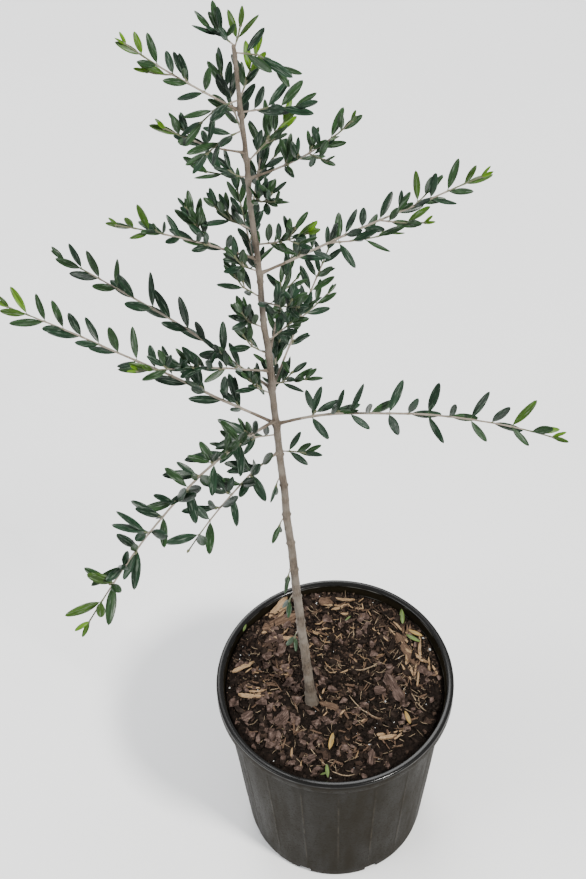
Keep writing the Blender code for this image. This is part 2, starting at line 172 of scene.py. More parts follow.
# Finer growth: petioles, side twigs in the joints, and the slight sway of every limb.
PETIOLE = 0.0030
SHOOT_TWIG_SHARE = 0.36
INNER_TWIG_SHARE = 0.28
OUTER_TWIG_SHARE = 0.05
INNER_REACH = 0.075
SWAY = 0.0018
SWAY_WAVE = 0.075
SWAY_STARTS = 0.08
BLADE_SLIMNESS = 0.92
BLADE_STATIONS = 11
BLADE_LANES = 4

# Meshes: a skin's step along a limb and its sides, the spacing of the scars, and the angles in
# degrees above which an edge stays sharp.
TRUNK_STEPS = 60
TRUNK_SKIN = (0.0016, 40)
BOUGH_SKIN = (0.0014, 20)
STEM_SKIN = (0.003, 8)
TRUNK_SCARS = 0.027
BOUGH_SCARS = 0.019
LEAF_SHARP = 60.0
CHIP_SHARP = 18.0

# Loose pieces on the soil: the forms of each kind of chip, the joints of a splinter, and how
# many splinters a patch holds before they lie all ways.
CHIP_FORMS = 14
CHIP_POINTS = 9
SLIVER_STATIONS = 9
FULLEST_PATCH = 30
SPLINTER_SEED = 401
FALLEN_SEED = 402

# Camera: focal length and place that give the photograph's view of pot and tree.
PHOTO_HEIGHT = 879
FOCAL_PIXELS = 2300
SENSOR = 36.0
CAMERA_AT = (-0.042, -1.338, 2.670)
CAMERA_DOWN = 54.5
CAMERA_ROLL = -1.5


class Limb(NamedTuple):
    """A bough with the foliage at its tip, or foliage that springs straight from the trunk."""

    name: str
    height: float
    heading: float
    rise: float
    tip_rise: float
    turn: float
    length: float
    bare: float
    side_shoots: int
    seed: int
    cut: float = 0.0
    leaf_scale: float = 1.0


# Height of the root on the trunk, heading from +X towards +Y, rise above level at root and
# tip, change of heading on the way, whole length, length that is bare bough, side shoots,
# seed, how much of a cut limb's tip is bare, and the size of its leaves among their kind.
LIMBS = (
    Limb("front_left_long", 0.568, 232, 28, -6, 10, 0.318, 0.026, 0, 11, leaf_scale=1.14),
    Limb("front_left_short", 0.516, 238, 30, 5, 4, 0.178, 0.022, 0, 12, 0.020, 1.10),
    Limb("right_long", 0.562, 350, 28, -5, -8, 0.275, 0.024, 0, 13),
    Limb("left_long", 0.563, 172, 34, 13, -12, 0.282, 0.024, 0, 14),
    Limb("left_middle", 0.618, 152, 28, 4, -4, 0.235, 0.022, 0, 15, leaf_scale=1.06),
    Limb("left_level", 0.648, 200, 32, 20, 0, 0.138, 0.020, 1, 16, leaf_scale=0.86),
    Limb("back_right", 0.618, 58, 45, 25, 6, 0.155, 0.030, 1, 17, leaf_scale=0.80),
    Limb("back_upright", 0.672, 72, 42, 25, 0, 0.100, 0.020, 1, 18, leaf_scale=0.76),
    Limb("left_high", 0.812, 192, 40, 26, 0, 0.142, 0.020, 2, 19, leaf_scale=0.95),
    Limb("right_high", 0.790, 17, 16, 12, 0, 0.215, 0.022, 3, 20),
    Limb("right_top", 0.918, 346, 32, 60, 0, 0.126, 0.025, 1, 21),
    Limb("left_upper", 0.950, 188, 20, 45, 0, 0.076, 0.020, 1, 22, leaf_scale=1.10),
    Limb("left_top", 1.000, 168, 27, 40, 0, 0.110, 0.020, 1, 23, leaf_scale=1.10),
)

# Short leafy shoots on the trunk itself, with no bare bough.
SHOOTS = (
    Limb("shoot_01", 0.170, 215, -50, -85, 0, 0.011, 0, 0, 31, leaf_scale=1.20),
    Limb("shoot_02", 0.245, 200, -50, -85, 0, 0.011, 0, 0, 32, leaf_scale=1.25),
    Limb("shoot_03", 0.300, 225, -50, -85, 0, 0.011, 0, 0, 33, leaf_scale=1.15),
    Limb("shoot_04", 0.395, 205, -50, -85, 0, 0.011, 0, 0, 34, leaf_scale=1.15),
    Limb("shoot_05", 0.470, 215, -50, -85, 0, 0.011, 0, 0, 35, leaf_scale=1.15),
    Limb("shoot_06", 0.515, 345, 20, 0, 0, 0.024, 0, 0, 36),
    Limb("shoot_30", 0.545, 208, 30, 5, 0, 0.055, 0, 1, 61),
    Limb("shoot_07", 0.590, 85, 35, 20, 0, 0.080, 0, 1, 37),
    Limb("shoot_08", 0.625, 350, 25, 20, 0, 0.032, 0, 0, 38),
    Limb("shoot_09", 0.612, 196, 35, 80, 0, 0.036, 0, 1, 39, leaf_scale=1.05),
    Limb("shoot_10", 0.676, 190, 35, 80, 0, 0.036, 0, 1, 40, leaf_scale=1.10),
    Limb("shoot_11", 0.694, 15, 35, 50, 0, 0.050, 0, 1, 41),
    Limb("shoot_12", 0.716, 205, 35, 80, 0, 0.036, 0, 1, 42, leaf_scale=1.10),
    Limb("shoot_13", 0.752, 308, 35, 45, 0, 0.065, 0, 1, 43),
    Limb("shoot_14", 0.775, 105, 40, 35, 0, 0.085, 0, 1, 44),
    Limb("shoot_15", 0.758, 180, 30, 80, 0, 0.036, 0, 1, 45, leaf_scale=1.10),
    Limb("shoot_16", 0.832, 335, 30, 45, 0, 0.062, 0, 2, 46, leaf_scale=1.05),
    Limb("shoot_17", 0.796, 205, 35, 80, 0, 0.036, 0, 1, 47, leaf_scale=1.10),
    Limb("shoot_18", 0.852, 178, 25, 65, 0, 0.042, 0, 1, 48, leaf_scale=1.05),
    Limb("shoot_19", 0.872, 75, 40, 40, 0, 0.080, 0, 1, 49),
    Limb("shoot_20", 0.892, 300, 38, 45, 0, 0.055, 0, 1, 50),
    Limb("shoot_21", 0.920, 182, 15, 20, 0, 0.034, 0, 0, 51, leaf_scale=1.15),
    Limb("shoot_22", 0.938, 30, 30, 45, 0, 0.044, 0, 1, 52, leaf_scale=1.05),
    Limb("shoot_23", 0.965, 110, 35, 40, 0, 0.055, 0, 0, 53, leaf_scale=1.10),
    Limb("shoot_24", 0.998, 352, 25, 5, 0, 0.045, 0, 0, 54, leaf_scale=1.20),
    Limb("shoot_25", 0.976, 205, 5, -45, 0, 0.034, 0, 0, 55, leaf_scale=1.15),
    Limb("shoot_26", 1.014, 55, 45, 55, 0, 0.036, 0, 0, 56, leaf_scale=1.15),
    Limb("shoot_27", 1.012, 200, 10, -55, 0, 0.036, 0, 0, 57, leaf_scale=1.20),
    Limb("shoot_28", 1.066, 350, 22, -60, 0, 0.036, 0, 0, 58, leaf_scale=1.15),
    Limb("shoot_29", 1.071, 60, 50, 65, 0, 0.018, 0, 0, 59),
    Limb("leader", TRUNK_LENGTH, 176, 52, 40, 0, 0.026, 0, 0, 60, leaf_scale=1.15),
)

# Limbs whose tips are in bright new leaf, and those whose side shoots are too.
BRIGHT_TIPS = ("front_left_long", "right_long", "left_long", "left_level", "left_high",
               "right_high", "right_top", "left_upper", "left_top", "shoot_16", "shoot_22",
               "shoot_26", "shoot_29")
BRIGHT_SIDES = ("right_high", "left_top")

# Shades of the leaves at a bright tip, for the last pair and the two before it.
TIP_SHADES = (("new", "new", "fresh"), ("new", "fresh", "middle"), ("fresh", "middle", "middle"))

# Boughs with fans of leaves in most of their joints.
BUSHY = ("front_left_long", "front_left_short", "left_level")


class Leaf(NamedTuple):
    """Where a leaf starts, the ways it and its stem point, its sizes, how many pairs stand
    between it and the tip, and whether it is on a side shoot."""

    root: Vector
    along: Vector
    across: Vector
    length: float
    width: float
    to_go: int
    ahead: Vector
    aside: bool = False


class Solid(NamedTuple):
    """Corners and faces of one closed surface."""

    corners: list
    faces: list


class Growth(NamedTuple):
    """What has grown on one limb."""

    limb: Limb
    points: list
    twigs: list
    leaves: list


# Courses of the limbs

def pointing(heading, rise):
    """Unit vector at a heading from +X towards +Y and a rise above level, in degrees."""
    level = math.cos(math.radians(rise))
    turn = math.radians(heading)
    return Vector((level * math.cos(turn), level * math.sin(turn), math.sin(math.radians(rise))))


def trunk_point(height):
    sideways = TRUNK_STRAIGHTENS * height * height - TRUNK_LEAN * height
    return TRUNK_FOOT + Vector((sideways, 0.0, height))


def trunk_direction(height):
    return (trunk_point(height + 0.001) - trunk_point(height - 0.001)).normalized()


def trunk_radius(height):
    taper = TRUNK_FOOT_RADIUS + (TRUNK_TIP_RADIUS - TRUNK_FOOT_RADIUS) * height / TRUNK_LENGTH
    return taper + ROOT_FLARE * math.exp(-height / FLARE_HEIGHT)


def course(start, limb):
    """Points from the limb's root to its tip, as its rise and heading change evenly."""
    steps = max(2, round(limb.length / COURSE_STEP))
    points = [start]
    for step in range(steps):
        part = (step + 0.5) / steps
        rise = limb.rise + (limb.tip_rise - limb.rise) * part
        heading = limb.heading + limb.turn * part
        points.append(points[-1] + pointing(heading, rise) * (limb.length / steps))
    return points


def length_of(points):
    return sum((end - start).length for start, end in zip(points, points[1:]))


def place_on(points, distance):
    """The point, and the direction there, at a distance along a course."""
    for start, end in zip(points, points[1:]):
        reach = (end - start).length
        if distance <= reach + 1e-9:
            return start + (end - start) * (distance / reach), (end - start).normalized()
        distance -= reach
    return points[-1], (points[-1] - points[-2]).normalized()


def stretch(points, first, last):
    """The part of a course between two distances along it."""
    passed = 0.0
    kept = [place_on(points, first)[0]]
    for start, end in zip(points, points[1:]):
        passed += (end - start).length
        if first + COURSE_STEP / 4 < passed < last - COURSE_STEP / 4:
            kept.append(end)
    kept.append(place_on(points, last)[0])
    return kept


def stem_radius(to_tip):
    """Radius of a bough or stem at a distance before its tip."""
    return STEM_TIP_RADIUS + STEM_TAPER * to_tip


def limb_start(limb):
    """Middle of the limb's root, and the way the trunk's bark faces there."""
    axis = trunk_direction(limb.height)
    if limb.height >= TRUNK_LENGTH:
        return trunk_point(TRUNK_LENGTH) + axis * CLEAR, axis
    level = pointing(limb.heading, 0.0)
    outward = (level - axis * level.dot(axis)).normalized()
    return trunk_point(limb.height) + outward * (trunk_radius(limb.height) + CLEAR), outward


# Rings and skins

def turns_round(sides):
    return [2.0 * math.pi * side / sides for side in range(sides)]


def ways_round(across, upright, sides):
    """Ways outward from the middle of a ring."""
    return [across * math.cos(turn) + upright * math.sin(turn) for turn in turns_round(sides)]


def frames_along(points):
    """At each point, the way ahead and two ways across it, which turn as little as they can."""
    across = None
    last = len(points) - 1
    for place in range(len(points)):
        ahead = (points[min(place + 1, last)] - points[max(place - 1, 0)]).normalized()
        if across is None:
            across = ahead.orthogonal()
        across = (across - ahead * across.dot(ahead)).normalized()
        yield ahead, across, ahead.cross(across)


def loft_faces(rings, around):
    """Faces of a closed skin over rings of points, which run round the way the rings go."""
    ring, side = np.meshgrid(np.arange(rings - 1), np.arange(around), indexing="ij")
    here = (ring * around + side).ravel()
    beside = (ring * around + (side + 1) % around).ravel()
    skin = np.stack([here, beside, beside + around, here + around], 1)
    caps = np.stack([np.arange(around)[::-1], np.arange(around) + (rings - 1) * around])
    return [skin, caps]


# The rule of the foliage, with the simple solids that try each twig's and leaf's clearance

def tube(points, radii, sides, root_facing=None):
    """A closed tube along points; its root is cut square, or along a plane facing a given way."""
    corners = []
    for place, (ahead, across, upright) in enumerate(frames_along(points)):
        point = points[place]
        for way in ways_round(across, upright, sides):
            corner = point + way * radii[place]
            if place == 0 and root_facing is not None:
                slide = (point - corner).dot(root_facing) / ahead.dot(root_facing)
                corner = corner + ahead * slide
            corners.append(corner)
    faces = [tuple(face) for group in loft_faces(len(points), sides) for face in group.tolist()]
    return Solid(corners, faces)


def leaf_solid(leaf, margin=0.0):
    """An eight-faced leaf, or the same with a margin all round for trying its clearance."""
    upright = leaf.along.cross(leaf.across)
    middle = leaf.root + leaf.along * (leaf.length * WIDEST_AT)
    half_width = leaf.width / 2.0 + margin
    half_thick = LEAF_THICKNESS / 2.0 + margin
    corners = [
        leaf.root,
        leaf.root + leaf.along * (leaf.length + margin),
        middle + leaf.across * half_width,
        middle + upright * half_thick,
        middle - leaf.across * half_width,
        middle - upright * half_thick,
    ]
    faces = []
    for side in range(4):
        near, far = 2 + side, 2 + (side + 1) % 4
        faces.append((0, far, near))
        faces.append((1, near, far))
    return Solid(corners, faces)


def stem_course(limb):
    """The stretch of the limb's course that carries foliage, and the way its root is cut."""
    start, facing = limb_start(limb)
    whole = course(start, limb)
    if limb.bare:
        return stretch(whole, limb.bare + CLEAR, limb.length), None
    return whole, facing


def stem_solid(points, facing=None):
    """A three-sided stem or twig that tapers to its tip."""
    radii = [stem_radius(length_of(points[place:])) for place in range(len(points))]
    return tube(points, radii, TWIG_SIDES, root_facing=facing)


def turned(vector, axis, degrees):
    return Quaternion(axis, math.radians(degrees)) @ vector


def leaf_length(limb):
    """Usual length of a full leaf in the limb's mass."""
    if limb.bare:
        return (LEAF_LENGTH - LEAF_SHORTENS * limb.height) * limb.leaf_scale
    return SHOOT_LEAF_LENGTH * limb.leaf_scale


def leaf_at(point, ahead, outward, spread, length, to_go, rng):
    """A leaf that leans out from its stem, lifts and turns its upper side to the light."""
    along = turned(ahead, ahead.cross(outward).normalized(), spread)
    along = (along + UP * LEAF_LIFT * min(1.0, max(0.0, 1.0 + 2.0 * ahead.z))).normalized()
    across = turned(along.cross(LIGHT).normalized(), along, rng.uniform(-LEAF_TILT, LEAF_TILT))
    root = point - along * LEAF_SUNK
    return Leaf(root, along, across, length, LEAF_BREADTH * length, to_go, ahead)


def side_course(point, ahead, outward, to_tip):
    """Points of a side shoot that leaves its stem at an angle and bends towards the light."""
    length = min(SHOOT_LONGEST, SHOOT_SHARE * to_tip)
    way = turned(ahead, ahead.cross(outward).normalized(), SHOOT_SPREAD)
    steps = max(2, round(length / COURSE_STEP))
    points = [point]
    for _ in range(steps):
        points.append(points[-1] + way * (length / steps))
        way = (way + UP * math.radians(SHOOT_LIFT) / steps).normalized()
    return points


def pair_spacing(limb):
    """Usual distance between the leaf pairs of the limb's mass."""
    return leaf_length(limb) * (PAIR_SPACING if limb.bare else SHOOT_PAIR_SPACING)


def joints_on(length, spacing):
    """Distances of the leaf pairs along a stem; they stand closer on a short one."""
    spacing *= min(1.0, 0.65 + length / 0.25)
    first = min(FIRST_PAIR, max(NEAREST_PAIR, FIRST_PAIR_SHARE * length))
    gaps = round((length - TIP_PAIR - first) / spacing)
    if gaps < 1:
        return [length - TIP_PAIR]
    step = (length - TIP_PAIR - first) / gaps
    return [first + step * joint for joint in range(gaps + 1)]


def grow(points, shoots, full, spacing, tip, cut, rng, fits):
    """Side shoots and leaves of a stem: an opposite pair at each joint, a quarter turn on."""
    length = length_of(points)
    joints = joints_on(length - cut, spacing)
    pairs = len(joints)
    shoot_joints = [round(pairs * (shoot + 0.6) / (shoots + 1.2)) for shoot in range(shoots)]
    first_turn = rng.uniform(0.0, 90.0)
    twigs, leaves = [], []
    for joint, distance in enumerate(joints):
        point, ahead = place_on(points, distance)
        to_go = pairs - 1 - joint
        young = to_go < len(YOUNG_SPREADS) and not cut
        size = tip + (1.0 - tip) * min(1.0, 0.8 * to_go) if young else 1.0
        spread = YOUNG_SPREADS[to_go] if young else LEAF_SPREAD * rng.uniform(0.65, 1.30)
        level = ahead.cross(UP).normalized()
        turn = first_turn + 90.0 * joint + rng.uniform(-20.0, 20.0)
        for side in (0, 1):
            outward = turned(level, ahead, turn + 180.0 * side)
            if side and joint in shoot_joints:
                shoot = side_course(point, ahead, outward, length - distance)
                if fits(stem_solid(shoot), shoot[-1]):
                    more_twigs, more_leaves = grow(shoot, 0, full, spacing, tip, 0.0, rng, fits)
                    twigs += [shoot] + more_twigs
                    leaves += [leaf._replace(aside=True) for leaf in more_leaves]
                    continue
            leaf_size = full * size * rng.uniform(0.88, 1.08)
            leaf = leaf_at(point, ahead, outward, spread, leaf_size, to_go, rng)
            if fits(leaf_solid(leaf, LEAF_MARGIN), leaf.root + leaf.along * leaf.length):
                leaves.append(leaf)
    return twigs, leaves


def tree_of(solids):
    """A search tree over the faces of several solids."""
    corners, faces = [], []
    for solid in solids:
        first = len(corners)
        corners += solid.corners
        faces += [tuple(first + corner for corner in face) for face in solid.faces]
    return BVHTree.FromPolygons(corners, faces)


def solid_of(node):
    """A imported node's surface."""
    mesh = frame["nodes"][node].data
    corners = [corner.co.copy() for corner in mesh.vertices]
    return Solid(corners, [tuple(face.vertices) for face in mesh.polygons])


def grow_foliage(limbs, fixed):
    """Grow every mass in turn; a twig or leaf that leaves its space or meets a solid is skipped."""
    stems = {limb.name: stem_course(limb) for limb in limbs}
    stem_solids = {name: stem_solid(*stem) for name, stem in stems.items()}
    grown = []
    placed = list(fixed)
    for limb in limbs:
        points, _ = stems[limb.name]
        others = [solid for name, solid in stem_solids.items() if name != limb.name]
        obstacles = tree_of(placed + others)

        def fits(solid, tip):
            reach = min((tip - point).length for point in points)
            if reach > SPACE_RADIUS:
                return False
            return not obstacles.overlap(tree_of([solid]))

        rng = random.Random(limb.seed)
        full = leaf_length(limb)
        spacing = pair_spacing(limb)
        tip = BOUGH_TIP_LEAF if limb.bare else SHOOT_TIP_LEAF
        twigs, leaves = grow(points, limb.side_shoots, full, spacing, tip, limb.cut, rng, fits)
        placed += [stem_solid(twig) for twig in twigs] + [leaf_solid(leaf) for leaf in leaves]
        grown.append(Growth(limb, points, twigs, leaves))
    return grown


def bears_twig(limb, leaf, place, rng):
    """Whether a finer twig grows beside the leaf: at every other leaf of a bushy bough, else by
    chance, and seldom out along a slender bough."""
    if leaf.to_go < 2:
        return False
    if limb.name in BUSHY:
        return place % 2 == 0
    if not limb.bare:
        return rng.random() < SHOOT_TWIG_SHARE
    start, _ = limb_start(limb)
    near = (leaf.root - start).length < INNER_REACH
    return rng.random() < (INNER_TWIG_SHARE if near else OUTER_TWIG_SHARE)


def side_twig(leaf, full, pairs, rng):
    """A finer twig in a leaf's joint, with one or two pairs of smaller leaves."""
    way = (leaf.ahead * 0.6 + leaf.along * 0.8).normalized()
    length = rng.uniform(0.004, 0.008) + 0.009 * (pairs - 1)
    points = [leaf.root, leaf.root + way * length / 2, leaf.root + (way + UP * 0.15) * length]
    first_turn = rng.uniform(0.0, 90.0)
    leaves = []
    for pair in range(pairs):
        to_go = pairs - 1 - pair
        point, ahead = place_on(points, length * (1.0 - 0.6 * to_go))
        for side in (0, 1):
            level = ahead.cross(UP).normalized()
            outward = turned(level, ahead, first_turn + 90.0 * pair + 180.0 * side)
            size = full * rng.uniform(0.62, 0.94)
            spread = rng.uniform(34.0, 56.0) + 6.0 * to_go
            leaves.append(leaf_at(point, ahead, outward, spread, size, 3, rng))
    return points, leaves


# Pieces joined from many closed shells

def add_object(name, data, group=None):
    if group is None:
        group = bpy.context.scene.collection
    made = bpy.data.objects.new(name, data)
    group.objects.link(made)
    return made


class Batch:
    """Closed shells gathered to be joined into one piece."""

    def __init__(self):
        self.corners = []
        self.faces = []
        self.places = []
        self.count = 0

    def add(self, corners, faces, places=None):
        corners = np.asarray(corners, float)
        self.corners.append(corners)
        self.faces += [np.asarray(group) + self.count for group in faces]
        self.places.append(np.zeros_like(corners) if places is None else np.asarray(places))
        self.count += len(corners)

    def join(self, name, finish, slot, sharp=40.0):
        """The batch as one object, shaded smooth except across edges sharper than an angle."""
        faces = [row for group in self.faces for row in group.tolist()]
        mesh = bpy.data.meshes.new(name)
        mesh.from_pydata(np.concatenate(self.corners).tolist(), [], faces)
        mesh.polygons.foreach_set("use_smooth", [True] * len(mesh.polygons))
        mesh.set_sharp_from_angle(angle=math.radians(sharp))
        place = mesh.attributes.new("limb_place", "FLOAT_VECTOR", "POINT")
        place.data.foreach_set("vector", np.concatenate(self.places).ravel())
        mesh.materials.append(finish)
        piece = add_object(name, mesh)
        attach(piece, "root")
        return piece


def swayed(point):
    """A limb's point moved by a slow wave in space, which is still at the soil."""
    fade = min(1.0, max(0.0, (point.z - SOIL_TOP) / SWAY_STARTS))
    return point + noise.noise_vector(point / SWAY_WAVE) * (SWAY * fade)


def add_limb(batch, points, first, last, step, sides, radii_at):
    """Skin round a course from one distance to another, with its own radius at each point."""
    count = max(3, round((last - first) / step))
    distances = [first + (last - first) * ring / count for ring in range(count + 1)]
    centres = [swayed(place_on(points, distance)[0]) for distance in distances]
    corners, places = [], []
    for distance, centre, (_, across, upright) in zip(distances, centres, frames_along(centres)):
        ways = ways_round(across, upright, sides)
        places += [(math.cos(turn), math.sin(turn), distance) for turn in turns_round(sides)]
        for way, radius in zip(ways, radii_at(distance, centre, ways)):
            corners.append(centre + way * radius)
    batch.add(corners, loft_faces(count + 1, sides), places)


# Bark of the trunk, boughs and twigs

def bark_rise(corner, radius):
    """Height of the bark's relief: long low ridges, fine grain and small raised pores."""
    ridges = noise.noise(Vector((corner.x * 420.0, corner.y * 420.0, corner.z * 55.0)))
    grain = noise.noise(corner * 1400.0)
    pores = noise.voronoi(Vector((corner.x * 230.0, corner.y * 230.0, corner.z * 150.0)))[0][0]
    pore = max(0.0, 0.16 - pores) * 0.0016
    return radius * (0.05 * ridges + 0.018 * grain) + pore


def collar_rise(limbs, height, way):
    """Swelling of the trunk under the roots of the limbs near a height."""
    rise = 0.0
    for limb in limbs:
        below = (height - limb.height + 0.002) / 0.0055
        facing = max(0.0, way.dot(pointing(limb.heading, 0.0)))
        size = 0.0011 if limb.bare else 0.0006
        rise += size * math.exp(-below * below) * facing ** 5
    return rise


def scar_rise(distance, spacing, way, radius):
    """Swelling at the old leaf joints, an opposite pair of scars a quarter turn on each time."""
    joint = round(distance / spacing)
    past = (distance - joint * spacing) / 0.0020
    facing = way.x if joint % 2 else way.y
    return radius * math.exp(-past * past) * (0.05 + 0.20 * facing ** 6)


def trunk_radii(distance, centre, ways):
    height = distance - TRUNK_SINK
    near = [limb for limb in LIMBS + SHOOTS[:-1] if abs(limb.height - height) < 0.02]
    radius = trunk_radius(max(0.0, height))
    radii = []
    for way in ways:
        rise = bark_rise(centre + way * radius, radius) + collar_rise(near, height, way)
        radii.append(radius + rise + scar_rise(distance, TRUNK_SCARS, way, min(radius, 0.004)))
    return radii


def bough_radii(limb):
    """Radii along a bough, whose first part lies inside the trunk's collar."""
    inside = trunk_radius(limb.height)

    def radii_at(distance, centre, ways):
        out = max(0.0, distance - inside)
        radius = stem_radius(limb.length - out) + 0.0009 * math.exp(-out / 0.004)
        radii = []
        for way in ways:
            rise = bark_rise(centre + way * radius, radius)
            radii.append(radius + rise + scar_rise(distance, BOUGH_SCARS, way, radius))
        return radii

    return radii_at


def stem_radii(length, joints):
    """Radii along a stem or twig, a little thicker at each leaf joint."""

    def radii_at(distance, centre, ways):
        radius = stem_radius(max(0.0, length - distance))
        past = min(abs(distance - joint) for joint in joints) / 0.0014
        swelling = 0.00028 * math.exp(-past * past)
        radii = []
        for way in ways:
            grain = noise.noise((centre + way * radius) * 900.0)
            radii.append(radius * (1.0 + 0.06 * grain) + swelling)
        return radii

    return radii_at


def add_stem(woody, green, points, spacing):
    """A stem whose last stretch is green."""
    length = length_of(points)
    radii_at = stem_radii(length, joints_on(length, spacing))
    split = max(0.004, length - GREEN_END)
    add_limb(woody, points, 0.0, split, *STEM_SKIN, radii_at)
    add_limb(green, points, split - 0.0002, length, *STEM_SKIN, radii_at)


def make_wood(finish):
    """Trunk and boughs with the bark's relief, joined."""
    batch = Batch()
    under = TRUNK_FOOT - trunk_direction(0.0) * TRUNK_SINK
    heights = [TRUNK_LENGTH * step / TRUNK_STEPS for step in range(TRUNK_STEPS + 1)]
    points = [under] + [trunk_point(height) for height in heights]
    add_limb(batch, points, 0.0, TRUNK_LENGTH + TRUNK_SINK, *TRUNK_SKIN, trunk_radii)
    for limb in LIMBS:
        start, _ = limb_start(limb)
        whole = [trunk_point(limb.height)] + course(start, limb)
        last = limb.bare + trunk_radius(limb.height) + CLEAR * 3.0
        add_limb(batch, whole, 0.0, last, *BOUGH_SKIN, bough_radii(limb))
    wood = batch.join("wood_with_bark", finish, "olive_bark")
    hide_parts("trunk", *[f"bough_{limb.name}" for limb in LIMBS])


# Leaves

class Curl(NamedTuple):
    """How a blade bends down to its tip, folds up from its midrib and twists."""

    droop: float
    fold: float
    twist: float


class Blade:
    """Points of a blade by its stations from root to tip and its lanes from edge to edge."""

    def __init__(self, leaf, curl):
        step = np.linspace(0.0, 1.0, BLADE_STATIONS)
        self.part = step - np.sin(2.0 * math.pi * step) * 0.07
        self.leaf = leaf
        self.curl = curl
        self.root = np.array(swayed(leaf.root))
        self.along = np.array(leaf.along)
        self.side = -np.array(leaf.across)
        self.top = np.cross(self.along, self.side)
        outline = np.sin(math.pi * self.part ** 0.98) ** (0.80 - 0.32 * self.part)
        self.half = BLADE_SLIMNESS * leaf.width / 2.0 * np.maximum(outline, 0.045)
        self.past = PETIOLE * min(1.0, leaf.length / 0.03)
        self.thick = 0.00028 * min(1.0, leaf.length / 0.02)

    def point(self, station, lane, lift):
        """A point at a station, a lane from -1 to 1, and a height above the blade's middle."""
        leaf, curl = self.leaf, self.curl
        part = self.part[station]
        half = self.half[station]
        reach = self.past + (leaf.length - self.past) * part
        folded = half * (curl.fold * abs(lane) - 0.50 * abs(lane) ** 3)
        turn = curl.twist * part
        side = self.side * math.cos(turn) + self.top * math.sin(turn)
        top = self.top * math.cos(turn) - self.side * math.sin(turn)
        drop = curl.droop * leaf.length * (reach / leaf.length) ** 2
        rise = folded + lift * self.thick * (1.0 - 0.9 * lane * lane)
        return self.root + self.along * reach - self.top * drop + side * (lane * half) + top * rise

    def shell(self, skin, core):
        """A closed part of the blade, from edge to edge at the skin's lift and back at the
        core's; a lift is 1 on the upper side and -1 on the under side."""
        lanes = np.linspace(1.0, -1.0, BLADE_LANES + 1) * math.copysign(1.0, skin)
        section = [(lane, skin) for lane in lanes] + [(lane, core) for lane in lanes[-2:0:-1]]
        own = sum(self.root) * 9.0
        corners, places = [], []
        for station in range(BLADE_STATIONS):
            for lane, lift in section:
                corners.append(self.point(station, lane, lift))
                across = lane * self.half[station]
                places.append((across, own, self.leaf.length * self.part[station]))
        return corners, loft_faces(BLADE_STATIONS, len(section)), places

    def rib(self, lift, size):
        """The midrib, a thin tapering tube half sunk in one side of the blade."""
        corners = []
        for station in range(0, BLADE_STATIONS, 2):
            middle = self.point(station, 0.0, lift)
            radius = size * (1.05 - self.part[station])
            corners += [middle + way * radius for way in ways_round(self.side, self.top, 4)]
        return corners, loft_faces((BLADE_STATIONS + 1) // 2, 4)

    def stalk(self):
        """The petiole, from inside the stem to a little way under the blade."""
        corners = []
        for part in (0.0, 0.5, 1.0, 1.4):
            reach = self.past * part
            drop = self.curl.droop * reach * reach / self.leaf.length
            middle = self.root + self.along * reach - self.top * drop
            radius = 0.00050 * (1.25 - 0.5 * part) * min(1.0, self.leaf.length / 0.025)
            corners += [middle + way * radius for way in ways_round(self.side, self.top, 6)]
        return corners, loft_faces(4, 6)


def leaf_shade(leaf, name, rng):
    """The leaf's colour: bright at some growing tips, else one of the dark greens."""
    bright = name in BRIGHT_SIDES if leaf.aside else name in BRIGHT_TIPS
    if bright and leaf.to_go < 3:
        return rng.choice(TIP_SHADES[leaf.to_go])
    if leaf.to_go < 2:
        return rng.choice(("middle", "middle", "blue"))
    return rng.choice(("deep", "deep", "deep", "blue", "blue", "middle"))


def add_leaf(batches, leaf, shade, rng):
    curl = Curl(rng.uniform(-0.04, 0.13), rng.uniform(0.30, 0.55), rng.uniform(-0.30, 0.30))
    blade = Blade(leaf, curl)
    under = "under_new" if shade in ("new", "fresh") else "under"
    batches[shade].add(*blade.shell(1.0, -0.3))
    batches[under].add(*blade.shell(-1.0, 0.3))
    batches["ribs"].add(*blade.rib(0.8, 0.00018))
    batches["ribs"].add(*blade.rib(-0.9, 0.00024))
    batches["ribs"].add(*blade.stalk())


def add_bud(batch, point, ahead, size):
    """A small pointed bud."""
    across = ahead.orthogonal().normalized()
    upright = ahead.cross(across)
    corners = []
    for part, radius in ((-0.3, 0.30), (0.1, 0.50), (0.6, 0.42), (1.2, 0.08)):
        for way in ways_round(across, upright, 5):
            corners.append(swayed(point) + ahead * (size * part) + way * (size * radius))
    batch.add(corners, loft_faces(4, 5))


